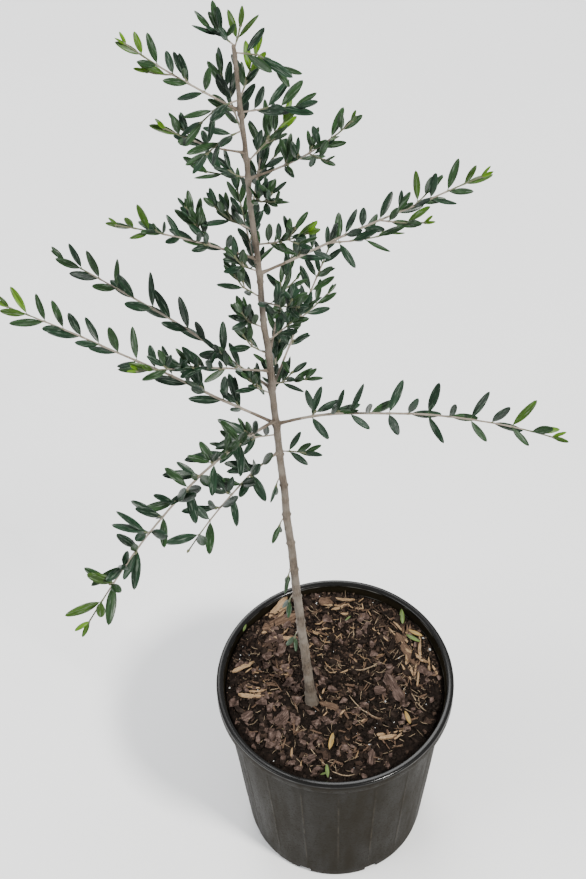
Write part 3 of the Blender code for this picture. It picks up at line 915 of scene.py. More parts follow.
def make_foliage(finishes, bark_finish):
    """Stems, leaves, midribs and buds of every mass, each kind joined."""
    fixed_names = ["pot", "soil", "trunk"] + [f"bough_{limb.name}" for limb in LIMBS]
    growths = grow_foliage(LIMBS + SHOOTS, [solid_of(name) for name in fixed_names])
    batches = {kind: Batch() for kind in finishes}
    woody = Batch()
    for growth in growths:
        limb = growth.limb
        full = leaf_length(limb)
        rng = random.Random(limb.seed * 7 + 1)
        leaves = [(leaf, leaf_shade(leaf, limb.name, rng)) for leaf in growth.leaves]
        stems = [growth.points] + growth.twigs
        for place, leaf in enumerate(growth.leaves):
            if leaf.to_go < 1:
                continue
            bud_way = (leaf.ahead + leaf.along).normalized()
            add_bud(batches["stems"], leaf.root + bud_way * 0.0016, bud_way, 0.0014)
            if bears_twig(limb, leaf, place, rng):
                pairs = 1 if limb.bare or rng.random() < 0.5 else 2
                points, small = side_twig(leaf, full, pairs, rng)
                stems.append(points)
                leaves += [(each, rng.choice(("deep", "blue", "middle"))) for each in small]
        for points in stems:
            add_stem(woody, batches["stems"], points, pair_spacing(limb))
            tip, ahead = place_on(points, length_of(points))
            add_bud(batches["stems"], tip, ahead, 0.0030)
        for leaf, shade in leaves:
            add_leaf(batches, leaf, shade, rng)
    masses = [f"foliage_{growth.limb.name}" for growth in growths]
    stems = woody.join("twigs", bark_finish, "olive_bark")
    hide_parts(*masses)
    for kind, batch in batches.items():
        piece = batch.join(f"foliage_{kind}", finishes[kind], "olive_leaf", LEAF_SHARP)
        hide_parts(*masses)
    print("leaves", sum(len(growth.leaves) for growth in growths))


# Pot

def wall_radius(height):
    """Outside radius of the pot's plain wall."""
    return FOOT_RADIUS + (WALL_TOP_RADIUS - FOOT_RADIUS) * height / POT_HEIGHT


def pot_profile():
    """Half section of the pot from its underside round to its floor: radius, height, how far
    the ribs and the dents show there."""
    band_low = POT_HEIGHT - LIP_HEIGHT - BAND_DEPTH
    lip_low = POT_HEIGHT - LIP_HEIGHT
    inside_top = wall_radius(POT_HEIGHT) - WALL
    points = [(0.030, 0.0, 0, 0), (FOOT_RADIUS - FOOT_ROUND, 0.0, 0, 0)]
    for step in range(1, 6):
        turn = math.radians(18.0 * step)
        radius = FOOT_RADIUS - FOOT_ROUND * (1.0 - math.sin(turn))
        points.append((radius, FOOT_ROUND * (1.0 - math.cos(turn)), 0, 0))
    rings = 34
    for ring in range(1, rings + 1):
        height = FOOT_ROUND + (band_low - FOOT_ROUND) * ring / rings
        ends = min(1.0, 4.0 * ring / rings, 6.0 * (rings - ring) / rings)
        points.append((wall_radius(height), height, ends, min(1.0, 2.0 * ring / rings)))
    for part, height in ((0.5, 0.0006), (1.0, 0.0016), (1.0, 0.0045)):
        points.append((wall_radius(band_low) + BAND_STEP * part, band_low + height, 0, 1))
    points.append((wall_radius(lip_low) + BAND_STEP, lip_low - 0.0010, 0, 0.6))
    points.append((wall_radius(lip_low) + BAND_STEP + 0.0004, lip_low, 0, 0.5))
    points.append((LIP_RADIUS - 0.0010, lip_low, 0, 0.4))
    for turn in (-60, -20, 10, 30, 50, 70, 90):
        turn = math.radians(turn)
        middle = POT_HEIGHT - 0.0026 if turn > 0 else lip_low + 0.0015
        radius = LIP_RADIUS - 0.0024 * (1.0 - math.cos(turn))
        points.append((radius, middle + 0.0026 * math.sin(turn), 0, 0.4))
    points.append((inside_top + 0.0016, POT_HEIGHT - 0.0001, 0, 0.4))
    points.append((inside_top + 0.0004, POT_HEIGHT - 0.0010, 0, 0.4))
    points.append((inside_top, POT_HEIGHT - 0.0032, 0, 0.4))
    for height in (0.29, 0.27, 0.20, 0.10, WALL):
        points.append((wall_radius(height) - WALL - 0.0001, height, 0, min(1.0, height * 4.0)))
    points.append((0.030, WALL, 0, 0))
    return points


def pot_dent(turn, height):
    """How far the thin wall is pressed in, and never out."""
    place = Vector((math.cos(turn) * 1.3, math.sin(turn) * 1.3, height * 6.0))
    slow = 0.5 + 0.5 * noise.noise(place)
    fine = 0.5 + 0.5 * noise.noise(place * 3.0)
    return DENT * (0.8 * slow + 0.2 * fine)


def drain_slot(place):
    """A block that cuts one drain slot through the pot's bottom corner."""
    turn = 2.0 * math.pi * (place + 0.5) / DRAIN_SLOTS
    outward = Vector((math.cos(turn), math.sin(turn), 0.0))
    sideways = Vector((-outward.y, outward.x, 0.0)) * (DRAIN_WIDTH / 2.0)
    corners = []
    for height in (-DRAIN_HEIGHT, DRAIN_HEIGHT):
        for radius, side in ((-1, -1), (1, -1), (1, 1), (-1, 1)):
            middle = outward * (FOOT_RADIUS + radius * DRAIN_HEIGHT)
            corners.append(middle + sideways * side + Vector((0.0, 0.0, height)))
    faces = [(3, 2, 1, 0), (4, 5, 6, 7), (0, 1, 5, 4), (1, 2, 6, 5), (2, 3, 7, 6), (3, 0, 4, 7)]
    return Solid(corners, faces)


def make_pot(finish):
    """The pot's thin wall with ribs, a band, a rolled lip, slight dents and drain slots."""
    sides = RIBS * SIDES_PER_RIB
    profile = pot_profile()
    corners, places = [], []
    for radius, height, ribs, dents in profile:
        for side, turn in enumerate(turns_round(sides)):
            to_rib = (side % SIDES_PER_RIB - SIDES_PER_RIB / 2) * 2.0 * math.pi * radius / sides
            rib = ribs * math.exp(-(to_rib / RIB_HALF_WIDTH) ** 2)
            out = radius + RIB_RISE * rib - dents * pot_dent(turn, height)
            corners.append((out * math.cos(turn), out * math.sin(turn), height))
            places.append((rib, 0.0, 0.0))
    batch = Batch()
    batch.add(corners, loft_faces(len(profile), sides), places)
    pot = batch.join("pot_shell", finish, "pot_plastic", 50.0)
    group = bpy.data.collections.new("slots")
    bpy.context.scene.collection.children.link(group)
    for place in range(DRAIN_SLOTS):
        block = drain_slot(place)
        mesh = bpy.data.meshes.new(f"slot_{place}")
        mesh.from_pydata([tuple(corner) for corner in block.corners], [], block.faces)
        add_object(f"slot_{place}", mesh, group)
    cut = pot.modifiers.new("Slots", "BOOLEAN")
    cut.operation = "DIFFERENCE"
    cut.operand_type = "COLLECTION"
    cut.collection = group
    cut.solver = "MANIFOLD"
    seen = pot.evaluated_get(bpy.context.evaluated_depsgraph_get())
    carved = bpy.data.meshes.new_from_object(seen)
    pot.modifiers.clear()
    pot.data = carved
    for block in list(group.objects):
        bpy.data.objects.remove(block, do_unlink=True)
    bpy.data.collections.remove(group)
    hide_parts("pot")


# Bark mix in the pot

def soil_height(x, y):
    """Height of the bark mix: lumps, a hollow by the trunk, and higher at the back left."""
    spot = Vector((x, y, 0.0))
    from_foot = math.hypot(x - TRUNK_FOOT.x, y - TRUNK_FOOT.y)
    calm = 0.35 + 0.65 * min(1.0, max(0.0, (from_foot - 0.010) / 0.03))
    lumps = 0.0030 * noise.noise(spot * 30.0) + 0.0020 * noise.noise(spot * 85.0)
    lumps += 0.0016 * noise.noise(spot * 210.0) + 0.0008 * noise.noise(spot * 480.0)
    past = math.hypot(x - HOLLOW_AT[0], y - HOLLOW_AT[1]) / HOLLOW_WIDTH
    hollow = HOLLOW_DEPTH * math.exp(-past * past)
    slope = SOIL_HEAP * (y - x) / LIP_RADIUS
    return SOIL_TOP + SOIL_HEAP / 2.0 + calm * (slope + lumps - hollow)


def soil_reach():
    return wall_radius(SOIL_TOP) - WALL - DENT


def make_soil(finish):
    """The body of the bark mix, one closed piece with an uneven top."""
    reach = soil_reach()
    low = WALL + CLEAR
    corners = []
    for radius, height in ((0.020, low), (wall_radius(low) - WALL - 0.0020, low)):
        for turn in turns_round(SOIL_SIDES):
            corners.append((radius * math.cos(turn), radius * math.sin(turn), height))
    for ring in range(SOIL_RINGS):
        radius = reach * (1.0 - ring / SOIL_RINGS)
        edge = SOIL_EDGE_DROP * max(0.0, 1.0 - ring / 3.0)
        for turn in turns_round(SOIL_SIDES):
            x, y = radius * math.cos(turn), radius * math.sin(turn)
            corners.append((x, y, soil_height(x, y) - edge))
    batch = Batch()
    batch.add(corners, loft_faces(SOIL_RINGS + 2, SOIL_SIDES))
    soil = batch.join("bark_mix_ground", finish, "bark_mix", 80.0)
    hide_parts("soil")


def shard(rng, points, rough):
    """An angular chip about two units across, from the hull of random points."""
    shape = bmesh.new()
    for _ in range(points):
        way = Vector([rng.gauss(0.0, 1.0) for _ in range(3)]).normalized()
        shape.verts.new(way / max(abs(part) for part in way) ** 0.7)
    hull = bmesh.ops.convex_hull(shape, input=shape.verts)
    bmesh.ops.delete(shape, geom=hull["geom_interior"], context="VERTS")
    if rough:
        bmesh.ops.subdivide_edges(shape, edges=shape.edges, cuts=1, use_grid_fill=True)
        offset = Vector((rng.uniform(0, 50), rng.uniform(0, 50), 0.0))
        for corner in shape.verts:
            corner.co += noise.noise_vector(corner.co * 1.7 + offset) * rough
    bmesh.ops.triangulate(shape, faces=shape.faces)
    bmesh.ops.recalc_face_normals(shape, faces=shape.faces)
    shape.verts.index_update()
    corners = np.array([corner.co for corner in shape.verts])
    faces = np.array([[corner.index for corner in face.verts] for face in shape.faces])
    shape.free()
    return corners, faces


def soil_spot(rng, reach, clear=0.014):
    """A random spot on the bark mix, clear of the trunk's foot."""
    while True:
        radius = reach * math.sqrt(rng.random())
        turn = rng.uniform(0.0, 2.0 * math.pi)
        x, y = radius * math.cos(turn), radius * math.sin(turn)
        if math.hypot(x - TRUNK_FOOT.x, y - TRUNK_FOOT.y) > clear:
            return x, y


def lying(rng, tilt):
    """A random turn about the vertical with a little tilt, as a 3 by 3 array."""
    spin = Quaternion(UP, rng.uniform(0.0, 2.0 * math.pi))
    axis = Vector((rng.gauss(0.0, 1.0), rng.gauss(0.0, 1.0), 0.0)).normalized()
    tip = Quaternion(axis, math.radians(rng.gauss(0.0, tilt)))
    return np.array((tip @ spin).to_matrix())


class Chips(NamedTuple):
    """A kind of chip: how many, its half sizes, its usual tilt, how sunk, and how rough."""

    name: str
    count: int
    smallest: float
    largest: float
    flatness: float
    narrowness: float
    tilt: float
    sunk: float
    rough: float
    seed: int


CHIPS = (
    Chips("chips_dark", 420, 0.0035, 0.0085, 0.50, 0.60, 32, 0.1, 0.0, 301),
    Chips("chips_pink", 210, 0.0038, 0.0082, 0.55, 0.75, 26, -0.2, 0.0, 302),
    Chips("chips_brown", 320, 0.0026, 0.0070, 0.42, 0.60, 32, -0.1, 0.0, 303),
    Chips("crumbs_black", 2600, 0.0009, 0.0032, 0.65, 0.80, 40, -0.1, 0.0, 304),
    Chips("crumbs_brown", 2600, 0.0008, 0.0024, 0.50, 0.60, 40, -0.3, 0.0, 305),
    Chips("perlite", 70, 0.0006, 0.0019, 0.80, 0.90, 40, -0.5, 0.10, 306),
)


def share_at(name, x, y):
    """Share of a kind of chip by place: pale chunks at the front left, few chips at the front
    right so that the dark ground there stands as painted shade of the wall, and pale crumbs mostly
    behind."""
    if name == "chips_pink":
        past = math.hypot(x + 0.075, y + 0.055) / 0.075
        return 0.25 + 0.75 * math.exp(-past * past)
    if name == "crumbs_brown":
        return 0.40 + 8.0 * y
    if name == "crumbs_black":
        return 1.0
    # Few chips at the front right: the dark ground showing there is a painted shadow of the wall.
    return 1.0 if 0.8 * x - 0.6 * y < 0.085 else 0.25


def make_chips(kind, finish):
    """One kind of chip strewn over the bark mix, joined."""
    rng = random.Random(kind.seed)
    forms = [shard(rng, CHIP_POINTS, kind.rough) for _ in range(CHIP_FORMS)]
    batch = Batch()
    made = 0
    while made < kind.count:
        x, y = soil_spot(rng, soil_reach() - kind.smallest, 0.007 + kind.smallest)
        size = kind.smallest + (kind.largest - kind.smallest) * rng.random() ** 2
        if rng.random() > share_at(kind.name, x, y):
            continue
        if math.hypot(x, y) + size > soil_reach():
            continue
        made += 1
        corners, faces = forms[made % len(forms)]
        flat = size * kind.flatness * rng.uniform(0.7, 1.2)
        narrow = size * kind.narrowness * rng.uniform(0.8, 1.25)
        turn = lying(rng, kind.tilt)
        middle = np.array((x, y, soil_height(x, y) + flat * (0.45 - kind.sunk)))
        batch.add((corners * (size, narrow, flat)) @ turn.T + middle, [faces])
    batch.join(kind.name, finish, "bark_mix", CHIP_SHARP)


def add_sliver(batch, start, heading, length, width, thick, curl, rng):
    """A long splinter that lies on the bark mix and follows its lumps a little."""
    heading = math.radians(heading)
    x, y = start
    corners, places = [], []
    phase = rng.uniform(0.0, 50.0)
    for station in range(SLIVER_STATIONS):
        part = station / (SLIVER_STATIONS - 1)
        turn = heading + curl * (part - 0.5)
        step = length / (SLIVER_STATIONS - 1)
        x += math.cos(turn) * step
        y += math.sin(turn) * step
        ground = soil_height(x, y) + thick * 0.3 + 0.0016
        lift = 0.004 * abs(curl) * (part - 0.5) ** 2 * 4.0 + rng.uniform(-0.0002, 0.0002)
        taper = min(1.0, 0.30 + 6.0 * part, 0.08 + 4.0 * (1.0 - part))
        wide = width / 2.0 * taper * (1.0 + 0.12 * noise.noise(Vector((phase, part * 5.0, 0.0))))
        across = np.array((-math.sin(turn), math.cos(turn), 0.25 * math.sin(phase)))
        middle = np.array((x, y, ground + lift))
        for side, up in ((-1, 0), (-0.7, -1), (0.7, -1), (1, 0), (0.6, 1), (-0.6, 1)):
            corners.append(middle + across * (side * wide) + np.array((0, 0, up * thick / 2.0)))
            places.append((side * wide, phase, length * part))
    batch.add(corners, loft_faces(SLIVER_STATIONS, 6), places)


class Strewn(NamedTuple):
    """A patch of splinters: where, how many, and their usual heading, length and width."""

    x: float
    y: float
    spread: float
    count: int
    heading: float
    length: float
    width: float


TAN_PATCHES = (
    Strewn(-0.085, 0.085, 0.022, 12, 45, 0.030, 0.0042),
    Strewn(-0.106, -0.012, 0.012, 4, 10, 0.020, 0.0036),
    Strewn(0.092, 0.050, 0.020, 12, 110, 0.028, 0.0042),
    Strewn(0.092, 0.010, 0.018, 12, 85, 0.022, 0.0034),
    Strewn(0.005, 0.112, 0.028, 9, 175, 0.020, 0.0036),
    Strewn(0.060, -0.075, 0.030, 6, 15, 0.016, 0.0034),
    Strewn(-0.050, -0.100, 0.030, 5, 60, 0.014, 0.0032),
    Strewn(0.000, 0.000, 0.085, 32, 0, 0.012, 0.0026),
    Strewn(0.010, 0.080, 0.060, 60, 0, 0.010, 0.0013),
)


class Slab(NamedTuple):
    """A large flat piece of bark: where it starts, its heading, length and width, and its tone."""

    x: float
    y: float
    heading: float
    length: float
    width: float
    tone: str


SLABS = (
    Slab(0.073, 0.075, -66, 0.049, 0.0100, "brown"),
    Slab(0.058, 0.018, -62, 0.044, 0.0130, "pink"),
    Slab(-0.079, 0.089, 52, 0.038, 0.0070, "tan"),
    Slab(-0.090, 0.074, 25, 0.048, 0.0120, "brown"),
    Slab(-0.074, 0.065, -6, 0.026, 0.0060, "tan"),
    Slab(-0.085, 0.058, 20, 0.024, 0.0070, "pink"),
    Slab(-0.124, 0.017, 27, 0.029, 0.0065, "tan"),
    Slab(-0.118, -0.012, -2, 0.031, 0.0062, "tan"),
    Slab(-0.019, 0.112, 10, 0.022, 0.0110, "brown"),
    Slab(0.000, 0.118, -8, 0.025, 0.0038, "tan"),
    Slab(0.046, -0.071, 9, 0.021, 0.0050, "tan"),
    Slab(0.082, 0.048, -35, 0.032, 0.0055, "tan"),
    Slab(0.038, -0.106, 83, 0.019, 0.0100, "pink"),
    Slab(-0.073, -0.052, 47, 0.022, 0.0130, "pink"),
    Slab(-0.042, -0.100, 28, 0.017, 0.0120, "pink"),
    Slab(0.044, -0.006, -2, 0.014, 0.0110, "pink"),
    Slab(-0.112, -0.045, 36, 0.016, 0.0100, "pink"),
    Slab(0.006, -0.032, 160, 0.024, 0.0080, "brown"),
)


# Thin long fibres: where each starts, its heading and its length.
TWIGLETS = (
    (-0.041, -0.060, -56, 0.055),
    (-0.010, -0.110, -13, 0.027),
    (0.013, -0.010, -44, 0.046),
    (0.013, 0.019, 14, 0.037),
    (0.088, -0.008, -58, 0.030),
)


def make_slivers(tan_finish, brown_finish, pink_finish, fibre_finish):
    """Flat slabs, tan and brown splinters in patches and all over, and thin pale fibres."""
    rng = random.Random(SPLINTER_SEED)
    tan, brown, pink, fibre = Batch(), Batch(), Batch(), Batch()
    tones = {"tan": tan, "brown": brown, "pink": pink}
    for slab in SLABS:
        start = (slab.x, slab.y)
        curl = rng.uniform(-0.15, 0.15)
        add_sliver(tones[slab.tone], start, slab.heading, slab.length, slab.width, 0.0032, curl, rng)
    for patch in TAN_PATCHES:
        wander = 180.0 if patch.count > FULLEST_PATCH else 32.0
        for splinter in range(patch.count):
            spot = (rng.gauss(patch.x, patch.spread * 0.6), rng.gauss(patch.y, patch.spread * 0.6))
            length = patch.length * rng.uniform(0.45, 1.15)
            heading = patch.heading + rng.uniform(-wander, wander)
            way = math.radians(heading)
            end = (spot[0] + length * math.cos(way), spot[1] + length * math.sin(way))
            if max(math.hypot(*spot), math.hypot(*end)) > soil_reach() - 0.004:
                continue
            width = patch.width * rng.uniform(0.4, 1.1)
            batch = brown if splinter % 3 == 2 else tan
            add_sliver(batch, spot, heading, length, width, 0.0016, rng.gauss(0.0, 0.3), rng)
    for batch, count, margin, lengths, widths, thick, bend in (
        (brown, 150, 0.018, (0.006, 0.016), (0.001, 0.003), 0.0012, 0.3),
        (fibre, 330, 0.014, (0.004, 0.014), (0.0004, 0.0009), 0.0006, 0.4),
    ):
        for _ in range(count):
            spot = soil_spot(rng, soil_reach() - margin)
            heading = rng.uniform(0.0, 360.0)
            length = rng.uniform(*lengths)
            width = rng.uniform(*widths)
            add_sliver(batch, spot, heading, length, width, thick, rng.gauss(0.0, bend), rng)
    for x, y, heading, length in TWIGLETS:
        add_sliver(fibre, (x, y), heading, length, 0.0014, 0.0013, 0.5, rng)
    for batch, name, finish, sharp in (
        (tan, "splinters_tan", tan_finish, 30.0),
        (brown, "splinters_brown", brown_finish, 30.0),
        (pink, "slabs_pink", pink_finish, 30.0),
        (fibre, "fibres_pale", fibre_finish, 50.0),
    ):
        batch.join(name, finish, "bark_mix", sharp)


# Fallen leaves: where each starts, its heading and its length.
FALLEN = {
    "green": (
        (0.085, 0.068, -34, 0.022),
        (0.083, 0.103, -89, 0.024),
        (-0.108, 0.070, 70, 0.012),
        (0.014, 0.084, 40, 0.010),
        (-0.012, -0.122, 93, 0.019),
        (-0.022, -0.116, 15, 0.010),
    ),
    "dry": (
        (0.088, 0.073, -30, 0.021),
        (-0.010, -0.088, 76, 0.024),
        (0.080, -0.034, -73, 0.021),
    ),
}


def make_fallen_leaves(finishes):
    """A few fallen leaves on the bark mix, each kind joined."""
    rng = random.Random(FALLEN_SEED)
    batches = {kind: Batch() for kind in FALLEN}
    for kind, rows in FALLEN.items():
        for x, y, heading, length in rows:
            root = Vector((x, y, soil_height(x, y) + 0.0045))
            along = pointing(heading, 4.0)
            across = turned(along.cross(UP).normalized(), along, rng.uniform(-20.0, 20.0))
            leaf = Leaf(root, along, across, length, length * 0.26, 3, along)
            blade = Blade(leaf, Curl(0.02, 0.5, rng.uniform(-0.5, 0.5)))
            batches[kind].add(*blade.shell(1.0, -1.0))
    for kind, batch in batches.items():
        batch.join(f"fallen_leaves_{kind}", finishes[kind], "olive_leaf", LEAF_SHARP)


# Materials

class Finish:
    """A material under construction: a Principled shader and the nodes that feed it."""

    def __init__(self, name, roughness, **sockets):
        self.material = bpy.data.materials.new(name)
        self.material.use_nodes = True
        self.tree = self.material.node_tree
        self.shader = self.tree.nodes["Principled BSDF"]
        self.shader.inputs["Roughness"].default_value = roughness
        for socket, value in sockets.items():
            self.shader.inputs[socket.replace("_", " ")].default_value = value
        self.place = self.tree.nodes.new("ShaderNodeTexCoord").outputs["Object"]

    def feed(self, socket, value):
        """Link a socket to another node's, or set it to a colour, vector or number."""
        if isinstance(value, bpy.types.NodeSocket):
            self.tree.links.new(value, socket)
        else:
            socket.default_value = value

    def node(self, kind, output, **sockets):
        """A new node's output; in a socket's name an underscore stands for a space."""
        made = self.tree.nodes.new(f"ShaderNode{kind}")
        for name, value in sockets.items():
            self.feed(made.inputs[name.replace("_", " ")], value)
        return made.outputs[output]

    def noise(self, scale, detail=3.0, vector=None, rough=0.55):
        vector = vector or self.place
        return self.node("TexNoise", "Fac", Scale=scale, Detail=detail, Roughness=rough, Vector=vector)

    def spots(self, scale):
        return self.node("TexVoronoi", "Distance", Scale=scale, Vector=self.place)

    def stretched(self, source, x, y, z):
        return self.node("Mapping", "Vector", Scale=(x, y, z), Vector=source)

    def attribute(self, name):
        node = self.tree.nodes.new("ShaderNodeAttribute")
        node.attribute_name = name
        return node.outputs["Vector"]

    def ramp(self, source, stops):
        node = self.tree.nodes.new("ShaderNodeValToRGB")
        while len(node.color_ramp.elements) < len(stops):
            node.color_ramp.elements.new(0.5)
        for element, (position, colour) in zip(node.color_ramp.elements, stops):
            element.position = position
            element.color = (*colour, 1.0)
        self.feed(node.inputs["Fac"], source)
        return node.outputs["Color"]

    def levels(self, source, low, high, start=0.0, end=1.0):
        ranges = {"From_Min": low, "From_Max": high, "To_Min": start, "To_Max": end}
        return self.node("MapRange", "Result", **ranges, Value=source)

    def band(self, source, middle, half):
        """One at the middle value, none half a width off to either side."""
        rise = self.levels(source, middle - half, middle)
        fall = self.levels(source, middle, middle + half, 1.0, 0.0)
        return self.blend(1.0, rise, fall, "MULTIPLY")

    def blend(self, factor, first, second, mode="MIX"):
        node = self.tree.nodes.new("ShaderNodeMix")
        node.data_type = "RGBA"
        node.blend_type = mode
        for value, socket in ((factor, 0), (first, 6), (second, 7)):
            self.feed(node.inputs[socket], (*value, 1.0) if isinstance(value, tuple) else value)
        return node.outputs[2]

    def part_of(self, source, axis):
        return self.node("SeparateXYZ", axis, Vector=source)

    def bump(self, height, strength, distance, below=None):
        under = {} if below is None else {"Normal": below}
        return self.node("Bump", "Normal", Strength=strength, Distance=distance, Height=height, **under)

    def finish(self, colour, normal, roughness=None):
        self.feed(self.shader.inputs["Base Color"], colour)
        self.feed(self.shader.inputs["Normal"], normal)
        if roughness is not None:
            self.feed(self.shader.inputs["Roughness"], roughness)
        return self.material


def leaf_finish(name, colour, roughness, coat, scaly, glint_highlight=0.54):
    """Leaf skin: dark and light streaks in relief, painted silver highlight streaks, fine pale scales."""
    made = Finish(name, roughness, Coat_Weight=coat, Coat_Roughness=0.22, Specular_IOR_Level=0.15)
    darker = tuple(part * 0.62 for part in colour)
    lighter = tuple(min(1.0, part * 1.45) for part in colour)
    silver = tuple(0.6 * part + 0.4 * grey for part, grey in zip(colour, (0.30, 0.34, 0.29)))
    along = made.stretched(made.attribute("limb_place"), 1.0, 1.0, 0.09)
    streak = made.noise(640.0, 3.0, along)
    mottle = made.ramp(streak, [(0.34, darker), (0.52, colour), (0.66, lighter)])
    # Painted highlights: silver streaks along the blade that stand in for gloss on the veins.
    glints = made.levels(made.noise(900.0, 2.0, along), 0.56, 0.67, 0.0, glint_highlight)
    scales = made.levels(made.noise(2300.0, 2.0), 0.60, 0.72, 0.0, scaly)
    surface = made.blend(scales, made.blend(glints, mottle, silver), silver)
    relief = made.bump(streak, 0.5, 0.0006, made.bump(made.noise(900.0, 3.0), 0.25, 0.0004))
    gloss = made.levels(made.noise(420.0, 3.0), 0.3, 0.7, roughness - 0.06, roughness + 0.08)
    return made.finish(surface, relief, gloss)


def bark_finish(name, dark, light, scale):
    """Young bark: streaks along the limb, pale pores and a fine grain."""
    made = Finish(name, 0.78, Specular_IOR_Level=0.3)
    along = made.stretched(made.attribute("limb_place"), 1.6, 1.6, 46.0)
    streaks = made.ramp(made.noise(scale, 6.0, along, 0.65), [(0.32, dark), (0.68, light)])
    patches = made.levels(made.noise(38.0, 3.0), 0.38, 0.66, 0.0, 0.55)
    grey = tuple(0.55 * part + 0.45 * tone for part, tone in zip(light, (0.30, 0.28, 0.24)))
    skin = made.blend(patches, streaks, grey)
    pores = made.levels(made.spots(330.0), 0.10, 0.22, 0.65, 0.0)
    pale = tuple(min(1.0, part * 1.7) for part in light)
    surface = made.blend(pores, skin, pale)
    coarse = made.bump(made.noise(scale * 2.0, 5.0, along, 0.6), 0.5, 0.0006)
    return made.finish(surface, made.bump(made.noise(1500.0, 3.0), 0.35, 0.0003, coarse))


def plastic_finish():
    """Black nursery plastic: nearly clean and soft glossy at the lip, dusty down the wall, with
    painted highlight lines at the lip's edges and paler ribs.
    """
    made = Finish("pot_black_plastic", 0.40, Specular_IOR_Level=0.03, Coat_Roughness=0.16)
    height = made.part_of(made.place, "Z")
    coat = made.levels(height, POT_HEIGHT - 0.0045, POT_HEIGHT - 0.0015, 0.0, 0.45)
    made.feed(made.shader.inputs["Coat Weight"], coat)
    lip = made.levels(height, POT_HEIGHT - 0.0060, POT_HEIGHT - 0.0010, 1.0, 0.15)
    along = made.stretched(made.place, 1.0, 1.0, 0.16)
    cloudy = made.levels(made.noise(16.0, 5.0, along), 0.30, 0.72, 0.30, 0.56)
    specks = made.levels(made.noise(420.0, 4.0), 0.52, 0.78, 0.0, 0.40)
    runs = made.levels(made.noise(62.0, 4.0, along), 0.40, 0.75, 0.0, 0.18)
    dust = made.blend(1.0, cloudy, specks, "ADD")
    dust = made.blend(1.0, dust, runs, "ADD")
    dust = made.blend(1.0, dust, lip, "MULTIPLY")
    surface = made.blend(dust, (0.0018, 0.0018, 0.0018), (0.0182, 0.0140, 0.0074))
    # Painted highlights: thin pale lines at the lip's outer top edge and its lower edge, broken by noise.
    edges = (POT_HEIGHT - 0.0024, POT_HEIGHT - LIP_HEIGHT + 0.0006)
    edge_highlights = made.blend(1.0, *[made.band(height, edge, 0.0009) for edge in edges], "ADD")
    edge_highlights = made.blend(1.0, edge_highlights, made.levels(made.noise(34.0, 3.0), 0.42, 0.62), "MULTIPLY")
    surface = made.blend(edge_highlights, surface, (0.110, 0.108, 0.100))
    # The ribs painted paler, patchy by noise.
    paler_ribs = made.levels(made.part_of(made.attribute("limb_place"), "X"), 0.25, 1.0, 0.0, 0.75)
    paler_ribs = made.blend(1.0, paler_ribs, made.levels(made.noise(45.0, 4.0), 0.35, 0.65), "MULTIPLY")
    surface = made.blend(paler_ribs, surface, (0.046, 0.038, 0.028))
    scuffs = made.stretched(made.place, 1.0, 1.0, 0.4)
    relief = made.bump(made.noise(900.0, 3.0, scuffs), 0.20, 0.0003)
    relief = made.bump(made.noise(30.0, 3.0), 0.25, 0.0015, relief)
    gloss = made.levels(dust, 0.0, 0.7, 0.16, 0.62)
    return made.finish(surface, relief, gloss)


def crumb_finish(name, colours, roughness=0.9, scale=160.0, lengthwise=False):
    """Bark mix and its chips: two or three tones in a fine or lengthwise grain, rough to see."""
    made = Finish(name, roughness, Specular_IOR_Level=0.07)
    grain = made.place
    if lengthwise:
        grain = made.stretched(made.attribute("limb_place"), 1.0, 1.0, 0.10)
    stops = [(0.34 + 0.32 * place / (len(colours) - 1), tone) for place, tone in enumerate(colours)]
    tones = made.ramp(made.noise(scale, 6.0, grain, 0.7), stops)
    fine = made.levels(made.noise(1700.0, 3.0), 0.35, 0.7, 0.55, 1.25)
    surface = made.blend(1.0, tones, fine, "MULTIPLY")
    coarse = made.bump(made.noise(scale * 2.5, 5.0, grain, 0.7), 0.7, 0.0010)
    return made.finish(surface, made.bump(made.noise(2400.0, 3.0), 0.4, 0.0004, coarse))


def floor_finish():
    """A matt pale floor with a barely visible grain."""
    made = Finish("pale_floor", 0.85, Specular_IOR_Level=0.2)
    tone = made.ramp(made.noise(3.0, 4.0), [(0.3, (0.88, 0.88, 0.875)), (0.7, (0.91, 0.91, 0.905))])
    return made.finish(tone, made.bump(made.noise(240.0, 3.0), 0.08, 0.0006))


def make_floor():
    mesh = bpy.data.meshes.new("floor")
    reach = 30.0
    corners = [(-reach, -reach, 0.0), (reach, -reach, 0.0), (reach, reach, 0.0), (-reach, reach, 0.0)]
    mesh.from_pydata(corners, [], [(0, 1, 2, 3)])
    mesh.materials.append(floor_finish())
    floor = add_object("floor", mesh)
    floor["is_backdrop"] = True


# Light and camera

def add_light(name, place, target, size, power, colour=(1.0, 1.0, 1.0)):
    """A large soft square light that faces a target."""
    data = bpy.data.lights.new(name, "AREA")
    data.shape = "SQUARE"
    data.size = size
    data.energy = power
    data.color = colour
    light = add_object(name, data)
    light.location = place
    light.rotation_euler = (Vector(target) - Vector(place)).to_track_quat("-Z", "Y").to_euler()


def make_light():
    world = bpy.data.worlds.new("studio")
    bpy.context.scene.world = world
    world.use_nodes = True
    sky = world.node_tree.nodes["Background"]
    sky.inputs["Color"].default_value = (0.93, 0.96, 1.0, 1.0)
    sky.inputs["Strength"].default_value = 0.92
    middle = (-0.02, 0.0, 0.70)
    add_light("key", (1.5, -1.5, 3.6), middle, 0.5, 215.0, (1.0, 0.98, 0.94))
    add_light("fill", (-2.4, -0.9, 2.4), middle, 1.8, 60.0)
    add_light("back", (-0.5, 2.3, 2.8), middle, 1.6, 70.0)


